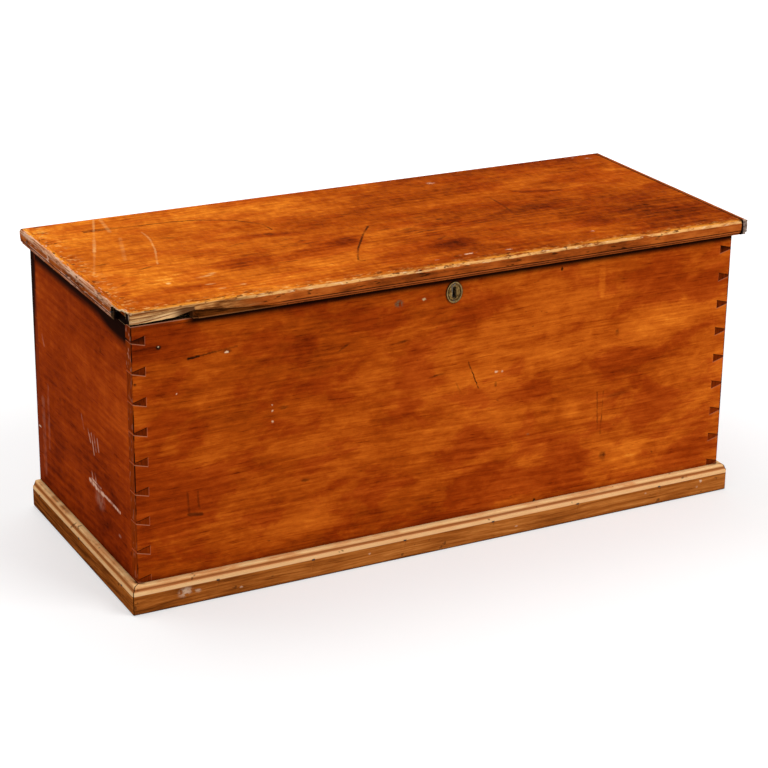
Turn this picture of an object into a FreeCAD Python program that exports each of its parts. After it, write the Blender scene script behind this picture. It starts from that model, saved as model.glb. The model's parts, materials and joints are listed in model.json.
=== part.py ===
"""A pine blanket chest: a case of six boards joined with through dovetails, a moulded plinth, a lid with
a moulded edge on two butt hinges, and a chest lock whose bolt passes through two staples on the lid.

Millimetres, +Z up, +X to the right along the front, -Y towards the front. The origin is on the floor, at the
centre of the whole chest's footprint.
"""
import FreeCAD, Part
import math
import os
import re

import Sketcher
from FreeCAD import Placement, Rotation, Vector

os.makedirs("parts", exist_ok=True)
doc = FreeCAD.newDocument("blanket_chest")

# ---------------------------------------------------------------- driving dimensions

DIMENSIONS = (
    # case
    ("case_width", "1100"),
    ("case_depth", "456"),
    ("case_height", "448"),
    ("board_thick", "22"),
    ("end_thick", "22"),
    ("floor_gap", "7"),
    ("bottom_thick", "20"),
    ("bottom_joint", "0.6"),
    # dovetails: the pins are narrow at the corner and wide inside
    ("pin_count", "9"),
    ("first_pin", "25.4"),
    ("pin_wide", "15"),
    ("pin_narrow", "3"),
    # lid
    ("lid_gap", "2"),
    ("lid_thick", "27"),
    ("lid_front_lip", "19.5"),
    ("lid_side_lip", "5.5"),
    ("lid_back_inset", "3"),
    # moulded edges of the lid: the front is worked on the board, the ends are applied
    ("side_thick", "13"),
    ("side_height", "26.5"),
    ("nose_round", "5"),
    ("fascia_slope", "1"),
    ("front_bead", "4"),
    ("side_bead", "4.5"),
    ("bead_set", "3"),
    ("bead_fullness", "0.52"),
    # where the lid's front left corner has broken away
    ("split_length", "103"),
    ("split_bend", "70"),
    ("split_left", "19.5"),
    ("split_middle", "17.5"),
    ("split_right", "10"),
    ("split_depth", "27"),
    ("worn_length", "155"),
    ("worn_left", "15.5"),
    ("worn_right", "3"),
    ("worn_depth", "5"),
    ("side_break", "52"),
    ("break_tooth", "5"),
    ("flake_break", "37"),
    ("flake_thick", "4"),
    # plinth
    ("plinth_height", "48"),
    ("plinth_thick", "14.5"),
    ("plinth_fascia", "37.4"),
    ("plinth_arris", "1.2"),
    ("plinth_cove", "4.2"),
    ("plinth_ledge", "8"),
    ("foot_round", "4"),
    # hinges
    ("hinge_margin", "200"),
    ("hinge_length", "76"),
    ("hinge_leaf", "17"),
    ("hinge_plate", "2"),
    ("hinge_offset", "5"),
    ("hinge_barrel", "9"),
    ("hinge_pin", "4"),
    ("hinge_play", "0.05"),
    ("knuckle_count", "3"),
    ("knuckle_play", "0.4"),
    ("pin_end", "1"),
    # lock plate and case
    ("lock_x", "6"),
    ("lock_plate_width", "76"),
    ("lock_plate_height", "54"),
    ("lock_plate", "2"),
    ("selvage_width", "16"),
    ("works_width", "61"),
    ("works_height", "44"),
    ("works_depth", "12"),
    ("works_wall", "1.5"),
    ("mortise_play", "0.5"),
    # keyhole, down from the front board's top edge
    ("key_drop", "19"),
    ("key_round", "3.2"),
    ("key_neck", "3"),
    ("key_foot", "4"),
    ("key_depth", "15.6"),
    ("key_sweep", "6.6"),
    # bolt, its stump and its spring
    ("bolt_throw", "7"),
    ("bolt_thick", "3.4"),
    ("bolt_drop", "10.6"),
    ("bolt_bar", "4.4"),
    ("bolt_tail", "9"),
    ("bolt_tail_left", "25"),
    ("bolt_tail_right", "10.5"),
    ("bolt_post", "5"),
    ("bolt_prong", "3.8"),
    ("bolt_play", "0.5"),
    ("talon_width", "3.5"),
    ("stump_size", "3.4"),
    ("stump_place", "14"),
    ("stump_play", "0.25"),
    ("stump_end", "1"),
    ("spring_thick", "0.8"),
    ("spring_width", "4"),
    ("spring_sweep", "12"),
    ("spring_foot", "8"),
    ("spring_play", "0.3"),
    # strike on the lid
    ("strike_width", "66"),
    ("strike_depth", "15"),
    ("strike_plate", "2"),
    ("strike_play", "0.3"),
    ("staple_width", "9"),
    ("staple_thick", "3"),
    ("staple_leg", "2.2"),
    ("staple_drop", "10"),
    ("staple_foot", "2.3"),
    ("staple_head", "2.9"),
    ("staple_first", "5.5"),
    ("staple_pitch", "24"),
    ("staple_play", "0.8"),
    # escutcheon
    ("plate_high", "36.3"),
    ("plate_wide", "29.6"),
    ("plate_base", "1.2"),
    ("rim_width", "2.2"),
    ("rim_height", "0.8"),
    ("ring_inset", "5.2"),
    ("ring_width", "1.6"),
    ("ring_height", "0.6"),
    ("plate_drop", "26"),
    ("plate_pin_place", "14.4"),
    ("plate_pin_size", "1.6"),
    ("plate_pin_length", "6.5"),
    # fasteners
    ("nail_size", "2.4"),
    ("nail_head", "5"),
    ("nail_head_thick", "1"),
    ("nail_margin", "70"),
    ("bottom_nail_length", "52"),
    ("bottom_nail_count_x", "7"),
    ("bottom_nail_count_y", "3"),
    ("plinth_nail_length", "34"),
    ("plinth_nail_height", "33"),
    ("plinth_nail_margin", "130"),
    ("plinth_nail_count_front", "6"),
    ("plinth_nail_count_side", "3"),
    ("lid_nail_length", "42"),
    ("lid_nail_count", "3"),
    ("screw_size", "3.4"),
    ("screw_head", "6.4"),
    ("screw_head_deep", "1.9"),
    ("screw_slot", "0.8"),
    ("screw_tip", "3"),
    ("screw_side_count", "8"),
    ("hinge_screw_length", "16"),
    ("hinge_screw_margin", "11"),
    ("lock_screw_length", "13"),
    ("lock_screw_edge", "3.6"),
    ("strike_screw_length", "14"),
    ("strike_screw_edge", "6"),
)

# places that follow from the sizes above
DERIVED = (
    ("case_bottom", "floor_gap + bottom_thick"),
    ("case_top", "case_bottom + case_height"),
    ("lid_bottom", "case_top + lid_gap"),
    ("lid_top", "lid_bottom + lid_thick"),
    ("hinge_reach", "hinge_offset + hinge_barrel/2"),
    ("case_front", "(lid_front_lip - hinge_reach - case_depth)/2"),
    ("case_back", "case_front + case_depth"),
    ("case_middle", "case_front + case_depth/2"),
    ("lid_end", "case_width/2 + lid_side_lip"),
    ("lid_back", "case_back - lid_back_inset"),
    ("hinge_place", "case_width/2 - hinge_margin"),
    ("hinge_y", "case_back + hinge_offset"),
    ("hinge_z", "case_top + lid_gap/2"),
    ("lock_y", "case_front + board_thick"),
    ("bolt_y", "lock_plate + (works_depth - works_wall)/2"),
    ("pin_pitch", "(case_height - 2*first_pin)/(pin_count - 1)"),
    ("plinth_bead", "plinth_height - plinth_fascia - plinth_arris - plinth_cove"),
)

ALIASES = {alias for alias, text in DIMENSIONS + DERIVED}


def dims(text):
    """An expression in plain alias names, as FreeCAD's expressions spell it."""
    return re.sub(r"[a-z]\w*", lambda word: f"dims.{word[0]}" if word[0] in ALIASES else word[0], text)


sheet = doc.addObject("Spreadsheet::Sheet", "dims")
for row, (alias, text) in enumerate(DIMENSIONS + DERIVED, start=1):
    derived = row > len(DIMENSIONS)
    sheet.set(f"A{row}", alias)
    sheet.setAlias(f"B{row}", alias)
    sheet.set(f"B{row}", f"={text}" if derived else text)
doc.recompute()


def value(text):
    """The number that an expression in the sheet's aliases comes to."""
    return float(sheet.evalExpression(dims(text)))


# ---------------------------------------------------------------- helpers

def place(item, x="0", y="0", z="0", turn=0):
    """Puts a piece at a place given as expressions, turned about the vertical."""
    item.Placement = Placement(Vector(), Rotation(Vector(0, 0, 1), turn))
    for axis, text in zip("xyz", (x, y, z)):
        item.setExpression(f"Placement.Base.{axis}", dims(text))


def make_body(name):
    body = doc.addObject("PartDesign::Body", name)
    body.Label = name
    return body


def origin_feature(body, role):
    return next(item for item in body.Origin.OriginFeatures if item.Role == role)


def make_sketch(body, plane, name, offset="0"):
    """A sketch on one of the body's own planes, shifted along that plane's normal."""
    sketch = body.newObject("Sketcher::SketchObject", f"{body.Name}_{name}")
    sketch.AttachmentSupport = [(origin_feature(body, f"{plane}_Plane"), "")]
    sketch.MapMode = "FlatFace"
    sketch.setExpression("AttachmentOffset.Base.z", dims(offset))
    return sketch


def arc_between(start, end, radius, turn):
    """The arc from start to end: turn is 1 anticlockwise, -1 clockwise, and 2 or -2 the longer way round."""
    chord = end - start
    height = math.sqrt(max(radius**2 - chord.Length**2/4, 0))
    left = Vector(-chord.y, chord.x, 0).normalize()
    centre = (start + end)/2 + left*height*(1 if turn in (1, -2) else -1)
    first, last = (start, end) if turn > 0 else (end, start)
    angles = [math.atan2(point.y - centre.y, point.x - centre.x) for point in (first, last)]
    return Part.ArcOfCircle(Part.Circle(centre, Vector(0, 0, 1), radius), *angles)


def outline(sketch, path, flip=1):
    """Draws a closed outline from the (x, y) of its corners. One that ends an arc adds radius and turn.

    With flip -1 it draws the mirror image about the sketch's vertical axis.
    """
    corners = [(f"{flip}*({entry[0]})", entry[1]) for entry in path]
    points = [Vector(value(x), value(y), 0) for x, y in corners]
    ends = []
    for index, entry in enumerate(path):
        start, end = points[index - 1], points[index]
        turn = 0
        if len(entry) == 2:
            number = sketch.addGeometry(Part.LineSegment(start, end), False)
        else:
            turn = entry[3]*flip
            number = sketch.addGeometry(arc_between(start, end, value(entry[2]), turn), False)
            bind(sketch, "Radius", (number,), entry[2])
        ends.append((number, 2, 1) if turn < 0 else (number, 1, 2))
    for index, (number, first, last) in enumerate(ends):
        following = ends[(index + 1) % len(ends)]
        sketch.addConstraint(Sketcher.Constraint("Coincident", number, last, following[0], following[1]))
        bind(sketch, "DistanceX", (-1, 1, number, last), corners[index][0])
        bind(sketch, "DistanceY", (-1, 1, number, last), corners[index][1])


def bind(sketch, kind, where, text):
    """Adds a dimension to a sketch and ties it to the sheet."""
    number = sketch.addConstraint(Sketcher.Constraint(kind, *where, value(text)))
    sketch.setExpression(f"Constraints[{number}]", dims(text))


def rectangle(sketch, left, right, low, high):
    outline(sketch, [(left, low), (right, low), (right, high), (left, high)])


def circle(sketch, x, y, radius):
    drawn = Part.Circle(Vector(value(x), value(y), 0), Vector(0, 0, 1), value(radius))
    number = sketch.addGeometry(drawn, False)
    bind(sketch, "Radius", (number,), radius)
    bind(sketch, "DistanceX", (-1, 1, number, 3), x)
    bind(sketch, "DistanceY", (-1, 1, number, 3), y)


def pad(body, sketch, length, side="One side", back=False):
    feature = body.newObject("PartDesign::Pad", f"{sketch.Name}_pad")
    feature.Profile = sketch
    feature.SideType = side
    feature.Reversed = back
    feature.setExpression("Length", dims(length))
    doc.recompute()
    return feature


def pocket(body, sketch, length=None, back=False):
    """Cuts to a depth, or right through both ways, and makes sure that it removed something."""
    before = body.Shape.Volume
    feature = body.newObject("PartDesign::Pocket", f"{sketch.Name}_pocket")
    feature.Profile = sketch
    feature.Reversed = back
    if length is None:
        feature.SideType = "Symmetric"
        feature.Type = "ThroughAll"
    else:
        feature.setExpression("Length", dims(length))
    doc.recompute()
    if body.Shape.Volume > before - 1:
        raise RuntimeError(f"{feature.Name} cuts nothing")
    return feature


def pattern(body, feature, axis, count, pitch):
    """Repeats a feature along one of the body's axes."""
    row_of = body.newObject("PartDesign::LinearPattern", f"{feature.Name}_row")
    row_of.Originals = [feature]
    row_of.Direction = (origin_feature(body, f"{axis}_Axis"), [""])
    row_of.setExpression("Occurrences", dims(count))
    row_of.setExpression("Length", dims(f"{pitch}*({count} - 1)"))
    body.Tip = row_of
    doc.recompute()
    return row_of


def box(name, x, y, z):
    """A Part::Box between pairs of expressions."""
    item = doc.addObject("Part::Box", name)
    for size, axis, (low, high) in zip(("Length", "Width", "Height"), "xyz", (x, y, z)):
        item.setExpression(size, dims(f"({high}) - ({low})"))
        item.setExpression(f"Placement.Base.{axis}", dims(low))
    return item


def rod(name, radius, x_from, x_to):
    """A cylinder along X between two expressions."""
    item = doc.addObject("Part::Cylinder", name)
    item.Placement = Placement(Vector(), Rotation(Vector(0, 1, 0), 90))
    item.setExpression("Radius", dims(radius))
    item.setExpression("Height", dims(f"({x_to}) - ({x_from})"))
    item.setExpression("Placement.Base.x", dims(x_from))
    return item


def fuse(name, items):
    item = doc.addObject("Part::MultiFuse", name)
    item.Shapes = items
    item.Refine = True
    return item


def cut(name, base, tools):
    """The base with all the tools taken out of it."""
    item = doc.addObject("Part::Cut", name)
    item.Base = base
    item.Tool = tools[0]
    if len(tools) > 1:
        item.Tool = doc.addObject("Part::Compound", f"{name}_tools")
        item.Tool.Links = tools
    item.Label = name
    return item


def group(name, shapes):
    """Loose identical fasteners as one piece."""
    item = doc.addObject("Part::Feature", name)
    item.Label = name
    item.Shape = Part.makeCompound(shapes)
    return item


def spread(low, high, number):
    """Evenly spaced places from one expression to another, both ends included."""
    first, last, count = value(low), value(high), int(value(number))
    return [first + (last - first)*step/(count - 1) for step in range(count)]


# ---------------------------------------------------------------- fasteners

def cut_nail(length, point, along):
    """A cut nail: a flat head at the point given, and a shank that tapers one way along a direction."""
    size, head, thick = value("nail_size"), value("nail_head"), value("nail_head_thick")
    reach = value(length)
    shank = Part.makeWedge(-size/2, 0, -size/2, -size/6, -size/2, size/2, reach, size/2, size/6, size/2)
    nail = shank.fuse(Part.makeBox(head, thick, size, Vector(-head/2, 0, -size/2))).removeSplitter()
    nail.Placement = Placement(point, Rotation(Vector(0, 1, 0), along))
    return nail


def turned(sections):
    """A many-sided round solid about Z through (height, radius) sections, flat-faced to keep it light."""
    sides = int(value("screw_side_count"))
    rings = [[Vector(radius, 0, height) for height, radius in sections]]
    for side in range(1, sides):
        spin = Rotation(Vector(0, 0, 1), 360*side/sides)
        rings.append([spin.multVec(point) for point in rings[0]])
    faces = [[ring[end] for ring in rings] for end in (0, -1)]
    for here, there in zip(rings, rings[1:] + rings[:1]):
        for low in range(len(sections) - 1):
            faces.append([here[low], there[low], there[low + 1], here[low + 1]])
    return Part.makeSolid(Part.makeShell([Part.Face(Part.makePolygon(face + face[:1])) for face in faces]))


def wood_screw(length, point, along):
    """A slotted countersunk screw whose head is flush at the point given."""
    radius, head, deep = value("screw_size/2"), value("screw_head/2"), value("screw_head_deep")
    slot, tip, reach = value("screw_slot"), value("screw_tip"), value(length)
    screw = turned([(0, head), (deep, radius), (reach - tip, radius), (reach, radius/5)])
    screw = screw.cut(Part.makeBox(2*head, slot, slot, Vector(-head, -slot/2, 0)))
    screw.Placement = Placement(point, Rotation(Vector(0, 0, 1), along))
    return screw


def bottom_nails():
    """Up through the bottom boards into the lower edges of the case."""
    up = Vector(0, 0, 1)
    level = value("floor_gap")
    nails = []
    for x in spread("nail_margin - case_width/2", "case_width/2 - nail_margin", "bottom_nail_count_x"):
        for y in (value("case_front + board_thick/2"), value("case_back - board_thick/2")):
            nails.append(cut_nail("bottom_nail_length", Vector(x, y, level), up))
    last = "case_back - nail_margin - 2*nail_head"
    for y in spread("case_front + nail_margin", last, "bottom_nail_count_y"):
        for side in (-1, 1):
            x = side*value("(case_width - end_thick)/2")
            nails.append(cut_nail("bottom_nail_length", Vector(x, y, level), up))
    return group("bottom_nails", nails)


def plinth_nails():
    """Through the plinth's flat band into the case."""
    level = value("plinth_nail_height")
    nails = []
    reach = "(case_width/2 - plinth_nail_margin)"
    for x in spread(f"-{reach}", reach, "plinth_nail_count_front"):
        point = Vector(x, value("case_front - plinth_thick"), level)
        nails.append(cut_nail("plinth_nail_length", point, Vector(0, 1, 0)))
    for y in spread("case_front + nail_margin/2", "case_back - nail_margin/2", "plinth_nail_count_side"):
        for side in (-1, 1):
            point = Vector(side*value("case_width/2 + plinth_thick"), y, level)
            nails.append(cut_nail("plinth_nail_length", point, Vector(-side, 0, 0)))
    return group("plinth_nails", nails)


def lid_nails():
    """Through the lid's side mouldings into the ends of its board."""
    nails = []
    for y in spread("case_front + nail_margin/2", "lid_back - nail_margin/2", "lid_nail_count"):
        for side in (-1, 1):
            point = Vector(side*value("lid_end + side_thick - fascia_slope/2"), y,
                           value("lid_top - side_height/2"))
            nails.append(cut_nail("lid_nail_length", point, Vector(-side, 0, 0)))
    return group("lid_moulding_nails", nails)


def hinge_screws(name, face, along):
    """Three screws through each of the two leaves that lie on one face."""
    screws = []
    y = value("case_back - hinge_leaf/2")
    for side in (-1, 1):
        centre = side*value("hinge_place")
        reach = value("hinge_length/2 - hinge_screw_margin")
        for x in (centre - reach, centre, centre + reach):
            screws.append(wood_screw("hinge_screw_length", Vector(x, y, value(face)), along))
    return group(name, screws)


def lock_screws():
    """Two down through the selvage and two outwards through the back plate."""
    x_reach = value("lock_plate_width/2 - lock_screw_edge")
    screws = []
    for side in (-1, 1):
        x = value("lock_x") + side*x_reach
        top = Vector(x, value("lock_y - selvage_width/2"), value("case_top"))
        back = Vector(x, value("lock_y"), value("case_top - key_drop - key_depth"))
        screws.append(wood_screw("lock_screw_length", top, Vector(0, 0, -1)))
        screws.append(wood_screw("lock_screw_length", back, Vector(0, -1, 0)))
    return group("lock_screws", screws)


def strike_screws():
    x_reach = value("strike_width/2 - strike_screw_edge")
    screws = []
    for side in (-1, 1):
        point = Vector(value("lock_x") + side*x_reach, value("lock_y - strike_depth/2"),
                       value("case_top + strike_play"))
        screws.append(wood_screw("strike_screw_length", point, Vector(0, 0, 1)))
    return group("strike_screws", screws)


def escutcheon_pins():
    """Two brass pins with domed heads, above and below the keyhole."""
    radius, length = value("plate_pin_size/2"), value("plate_pin_length")
    dome = radius/2
    pins = []
    for side in (-1, 1):
        point = Vector(value("lock_x"), value("case_front - plate_base") - dome,
                       value("case_top - plate_drop") + side*value("plate_pin_place"))
        pin = turned([(0, dome), (dome, radius), (dome + length, radius)])
        pin.Placement = Placement(point, Rotation(Vector(0, 0, 1), Vector(0, 1, 0)))
        pins.append(pin)
    return group("escutcheon_pins", pins)


# ---------------------------------------------------------------- case

def pin_section(edge, inward):
    """The section of the lowest pin: narrow at the corner of the case, wide where the end board begins."""
    inner = f"{edge} + {inward}*end_thick"
    return [(inner, "first_pin - pin_wide/2"), (inner, "first_pin + pin_wide/2"),
            (edge, "first_pin + pin_narrow/2"), (edge, "first_pin - pin_narrow/2")]


def tail_board(name):
    """A long board with tails cut at both ends, its outer face on y = 0 and its lower edge on z = 0."""
    body = make_body(name)
    face = make_sketch(body, "XZ", "face")
    rectangle(face, "-case_width/2", "case_width/2", "0", "case_height")
    pad(body, face, "board_thick", back=True)
    sockets = make_sketch(body, "XZ", "sockets")
    outline(sockets, pin_section("-case_width/2", 1))
    outline(sockets, pin_section("case_width/2", -1))
    pattern(body, pocket(body, sockets), "Z", "pin_count", "pin_pitch")
    return body


def keyhole(sketch, x, axis):
    """Round at the top for the key's stem, and a slot below that widens to its foot."""
    shoulder = f"{axis} - sqrt(key_round^2 - key_neck^2)"
    foot = f"{axis} - key_depth"
    outline(sketch, [(f"{x} - key_foot", foot),
                     (f"{x} + key_foot", foot, "key_foot*1.3", 1),
                     (f"{x} + key_neck", shoulder),
                     (f"{x} - key_neck", shoulder, "key_round", 2)])


def front_board():
    """The front, let in behind and on top for the lock, with a keyhole."""
    body = tail_board("front_board_blank")
    left, right = "lock_x - works_width/2 - mortise_play", "lock_x + works_width/2 + mortise_play"
    mortise = make_sketch(body, "XZ", "mortise", "-board_thick")
    rectangle(mortise, left, right, "case_height - lock_plate - works_height - mortise_play", "case_height")
    pocket(body, mortise, "lock_plate + works_depth + mortise_play", back=True)
    plate = make_sketch(body, "XZ", "plate", "-board_thick")
    rectangle(plate, "lock_x - lock_plate_width/2", "lock_x + lock_plate_width/2",
              "case_height - lock_plate_height", "case_height")
    pocket(body, plate, "lock_plate", back=True)
    selvage = make_sketch(body, "XY", "selvage", "case_height")
    rectangle(selvage, "lock_x - lock_plate_width/2", "lock_x + lock_plate_width/2",
              "board_thick - selvage_width", "board_thick")
    pocket(body, selvage, "lock_plate")
    hole = make_sketch(body, "XZ", "keyhole")
    keyhole(hole, "lock_x", "case_height - key_drop")
    pocket(body, hole)
    place(body, y="case_front", z="case_bottom")
    return body


def back_board():
    """The back, the same board turned round, let in on top for the hinge leaves."""
    body = tail_board("back_board_blank")
    leaves = make_sketch(body, "XY", "leaves", "case_height")
    for side in (-1, 1):
        centre = f"{side}*hinge_place"
        rectangle(leaves, f"{centre} - hinge_length/2", f"{centre} + hinge_length/2", "0", "hinge_leaf")
    pocket(body, leaves, "hinge_plate")
    place(body, y="case_back", z="case_bottom", turn=180)
    return body


def end_board(name, side):
    """An end, with a pin at every socket of the front and back, its outer face on x = 0."""
    body = make_body(f"{name}_blank")
    plan = make_sketch(body, "XY", "plan")
    rectangle(plan, "0", "end_thick", "board_thick - case_depth/2", "case_depth/2 - board_thick")
    pad(body, plan, "case_height")
    pin = make_sketch(body, "XZ", "pin")
    outline(pin, pin_section("0", 1))
    pattern(body, pad(body, pin, "case_depth", "Symmetric"), "Z", "pin_count", "pin_pitch")
    place(body, x=f"{side}*case_width/2", y="case_middle", z="case_bottom", turn=0 if side < 0 else 180)
    return body


def bottom_board(name, low, high):
    return box(f"{name}_blank", ("-case_width/2", "case_width/2"), (low, high), ("floor_gap", "case_bottom"))


# ---------------------------------------------------------------- plinth

PLINTH_PATH = [
    ("0", "0"),
    ("plinth_thick - foot_round", "0"),
    ("plinth_thick", "foot_round", "foot_round", 1),
    ("plinth_thick", "plinth_fascia"),
    ("plinth_thick - plinth_arris", "plinth_fascia + plinth_arris", "plinth_arris", 1),
    ("plinth_ledge + plinth_cove", "plinth_fascia + plinth_arris"),
    ("plinth_ledge", "plinth_height - plinth_bead", "plinth_cove", -1),
    ("plinth_ledge", "plinth_height", "plinth_bead*bead_fullness", 1),
    ("0", "plinth_height"),
]


def plinth_front():
    """The front length, mitred at both ends, its back on y = 0."""
    body = make_body("plinth_front_blank")
    section = make_sketch(body, "YZ", "section")
    outline(section, PLINTH_PATH, -1)
    pad(body, section, "case_width + 2*plinth_thick", "Symmetric")
    mitres = make_sketch(body, "XY", "mitres")
    for side in (-1, 1):
        outline(mitres, [("case_width/2", "0"), ("case_width/2 + plinth_thick", "-plinth_thick"),
                         ("case_width/2 + plinth_thick", "0")], side)
    pocket(body, mitres)
    place(body, y="case_front")
    return body


def plinth_side(name, side):
    """An end length, mitred at the front and square at the back, its inner face on x = 0."""
    body = make_body(f"{name}_blank")
    section = make_sketch(body, "XZ", "section", "plinth_thick")
    outline(section, PLINTH_PATH, side)
    pad(body, section, "case_depth + plinth_thick", back=True)
    mitre = make_sketch(body, "XY", "mitre")
    outline(mitre, [("0", "0"), ("0", "-plinth_thick"), ("plinth_thick", "-plinth_thick")], side)
    pocket(body, mitre)
    place(body, x=f"{side}*case_width/2", y="case_front")
    return body


# ---------------------------------------------------------------- lid

def moulded_edge(back, reach, height, bead):
    """Section of a moulded edge below z = 0: two round beads set in, a flat fascia and a worn round nose."""
    low = f"-{height}"
    return [
        (back, low),
        (f"{reach} - 2*bead_set", low),
        (f"{reach} - 2*bead_set", f"{low} + {bead}", f"{bead}*bead_fullness", 1),
        (f"{reach} - bead_set", f"{low} + {bead}"),
        (f"{reach} - bead_set", f"{low} + 2*{bead}", f"{bead}*bead_fullness", 1),
        (f"{reach} - fascia_slope", f"{low} + 2*{bead}"),
        (reach, "-nose_round"),
        (f"{reach} - nose_round", "0", "nose_round", 1),
        (back, "0"),
    ]


def lid_board():
    """One board, its front edge moulded, let in for the hinges and the strike, broken at the front left.

    Its top is on z = 0 and y = 0 is over the front of the case.
    """
    body = make_body("lid_board_blank")
    section = make_sketch(body, "YZ", "section")
    back = "lid_back_inset - case_depth"
    outline(section, moulded_edge(back, "lid_front_lip", "lid_thick", "front_bead"), -1)
    pad(body, section, "2*lid_end", "Symmetric")
    leaves = make_sketch(body, "XY", "leaves", "-lid_thick")
    for side in (-1, 1):
        centre = f"{side}*hinge_place"
        rectangle(leaves, f"{centre} - hinge_length/2", f"{centre} + hinge_length/2",
                  "case_depth - hinge_leaf", "case_depth")
    pocket(body, leaves, "hinge_plate", back=True)
    strike = make_sketch(body, "XY", "strike", "-lid_thick")
    rectangle(strike, "lock_x - strike_width/2", "lock_x + strike_width/2",
              "board_thick - strike_depth", "board_thick")
    pocket(body, strike, "strike_plate + strike_play - lid_gap", back=True)
    split_end = "split_length - lid_end"
    split = make_sketch(body, "XZ", "split", "lid_front_lip")
    outline(split, [("-lid_end", "-lid_thick"), (split_end, "-lid_thick"), (split_end, "-split_right"),
                    ("split_bend - lid_end", "-split_middle"), ("-lid_end", "-split_left")])
    pocket(body, split, "split_depth")
    worn = make_sketch(body, "XZ", "worn", "lid_front_lip")
    outline(worn, [(split_end, "-lid_thick"), (f"{split_end} + worn_length", "-lid_thick"),
                   (f"{split_end} + worn_length", "worn_right - lid_thick"),
                   (split_end, "worn_left - lid_thick")])
    pocket(body, worn, "worn_depth")
    place(body, y="case_front", z="lid_top")
    return body


def lid_moulding(name, side):
    """An end length run forward to the nose of the lid's front, its inner face on x = 0, its top on z = 0.

    The left one has broken off short, and a thin flake of its top still runs on towards the corner.
    """
    body = make_body(f"{name}_blank")
    section = make_sketch(body, "XZ", "section", "lid_front_lip")
    outline(section, moulded_edge("0", "side_thick", "side_height", "side_bead"), side)
    pad(body, section, "case_depth - lid_back_inset + lid_front_lip", back=True)
    if side < 0:
        lost = [("0", "-lid_front_lip"), ("side_thick", "-lid_front_lip")]
        reach, tip = "(side_break - lid_front_lip)", "(flake_break - lid_front_lip)"
        jag = make_sketch(body, "XY", "jag", "-flake_thick")
        outline(jag, lost + [("side_thick", reach), ("0.7*side_thick", f"{reach} + break_tooth"),
                             ("0.5*side_thick", f"{reach} - break_tooth"),
                             ("0.3*side_thick", f"{reach} + 2*break_tooth"), ("0", reach)], side)
        pocket(body, jag, "side_height")
        flake = make_sketch(body, "XY", "flake")
        outline(flake, lost + [("side_thick", tip), ("0.8*side_thick", f"{tip} - 3*break_tooth"),
                               ("0.5*side_thick", f"{tip} - 3*break_tooth"),
                               ("0.3*side_thick", "break_tooth - lid_front_lip")], side)
        pocket(body, flake, "side_height")
    place(body, x=f"{side}*lid_end", y="case_front", z="lid_top")
    return body


# ---------------------------------------------------------------- hinges

def hinge_leaf(name, side, centre):
    """One leaf of a butt hinge about its pin: the plate let into the wood, and every second knuckle.

    side is -1 for the leaf on the case, below the pin, and 1 for the leaf on the lid.
    """
    near, far = "(lid_gap/2)", "(lid_gap/2 + hinge_plate)"
    heights = (near, far) if side > 0 else (f"-{far}", f"-{near}")
    plate = box(f"{name}_plate", ("-hinge_length/2", "hinge_length/2"),
                ("-hinge_offset - hinge_leaf", "0"), heights)
    knuckles, gaps = [], []
    for index in range(int(value("knuckle_count"))):
        start = f"hinge_length*({index}/knuckle_count - 0.5)"
        end = f"hinge_length*({index + 1}/knuckle_count - 0.5)"
        own = (index % 2 == 0) == (side < 0)
        if own:
            knuckles.append(rod(f"{name}_knuckle_{index}", "hinge_barrel/2",
                                f"{start} + knuckle_play/2", f"{end} - knuckle_play/2"))
        else:
            gaps.append(box(f"{name}_gap_{index}", (f"{start} - knuckle_play/2", f"{end} + knuckle_play/2"),
                            ("-hinge_barrel/2 - knuckle_play", "hinge_barrel"), (f"-{far}", far)))
    bore = rod(f"{name}_bore", "hinge_pin/2 + hinge_play", "-hinge_length", "hinge_length")
    notched = cut(f"{name}_notched", plate, gaps)
    leaf = cut(f"{name}_blank", fuse(f"{name}_solid", [notched] + knuckles), [bore])
    place(leaf, x=centre, y="hinge_y", z="hinge_z")
    return leaf


def hinge_pin(name, centre):
    """The pin, standing out a little at each end."""
    pin = rod(name, "hinge_pin/2", "-hinge_length/2 - pin_end", "hinge_length/2 + pin_end")
    pin.Label = name
    pin.setExpression("Placement.Base.x", dims(f"{centre} - hinge_length/2 - pin_end"))
    pin.setExpression("Placement.Base.y", dims("hinge_y"))
    pin.setExpression("Placement.Base.z", dims("hinge_z"))
    return pin


# ---------------------------------------------------------------- lock

# The lock's pieces share one frame: x from the keyhole, y = 0 on the front board's inner face, z = 0 on its
# top edge.

def place_lock(body):
    place(body, x="lock_x", y="lock_y", z="case_top")
    return body


def lock_plate():
    """Back plate and selvage in one, with slots for the staples and the stump that carries the bolt."""
    body = make_body("lock_plate_blank")
    angle = make_sketch(body, "YZ", "angle")
    outline(angle, [("0", "0"), ("-selvage_width", "0"), ("-selvage_width", "-lock_plate"),
                    ("-lock_plate", "-lock_plate"), ("-lock_plate", "-lock_plate_height"),
                    ("0", "-lock_plate_height")])
    pad(body, angle, "lock_plate_width", "Symmetric")
    slots = make_sketch(body, "XY", "slots")
    for middle in ("-staple_first", "staple_pitch - staple_first"):
        reach_x, reach_y = "(staple_thick/2 + staple_play)", "(staple_width/2 + staple_play)"
        rectangle(slots, f"{middle} - {reach_x}", f"{middle} + {reach_x}",
                  f"-bolt_y - {reach_y}", f"-bolt_y + {reach_y}")
    pocket(body, slots, "lock_plate")
    stump = make_sketch(body, "XZ", "stump", "lock_plate")
    circle(stump, "-stump_place", "-bolt_drop - bolt_tail/2", "stump_size/2")
    pad(body, stump, "bolt_y + bolt_thick/2 - lock_plate + stump_end")
    return place_lock(body)


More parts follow.
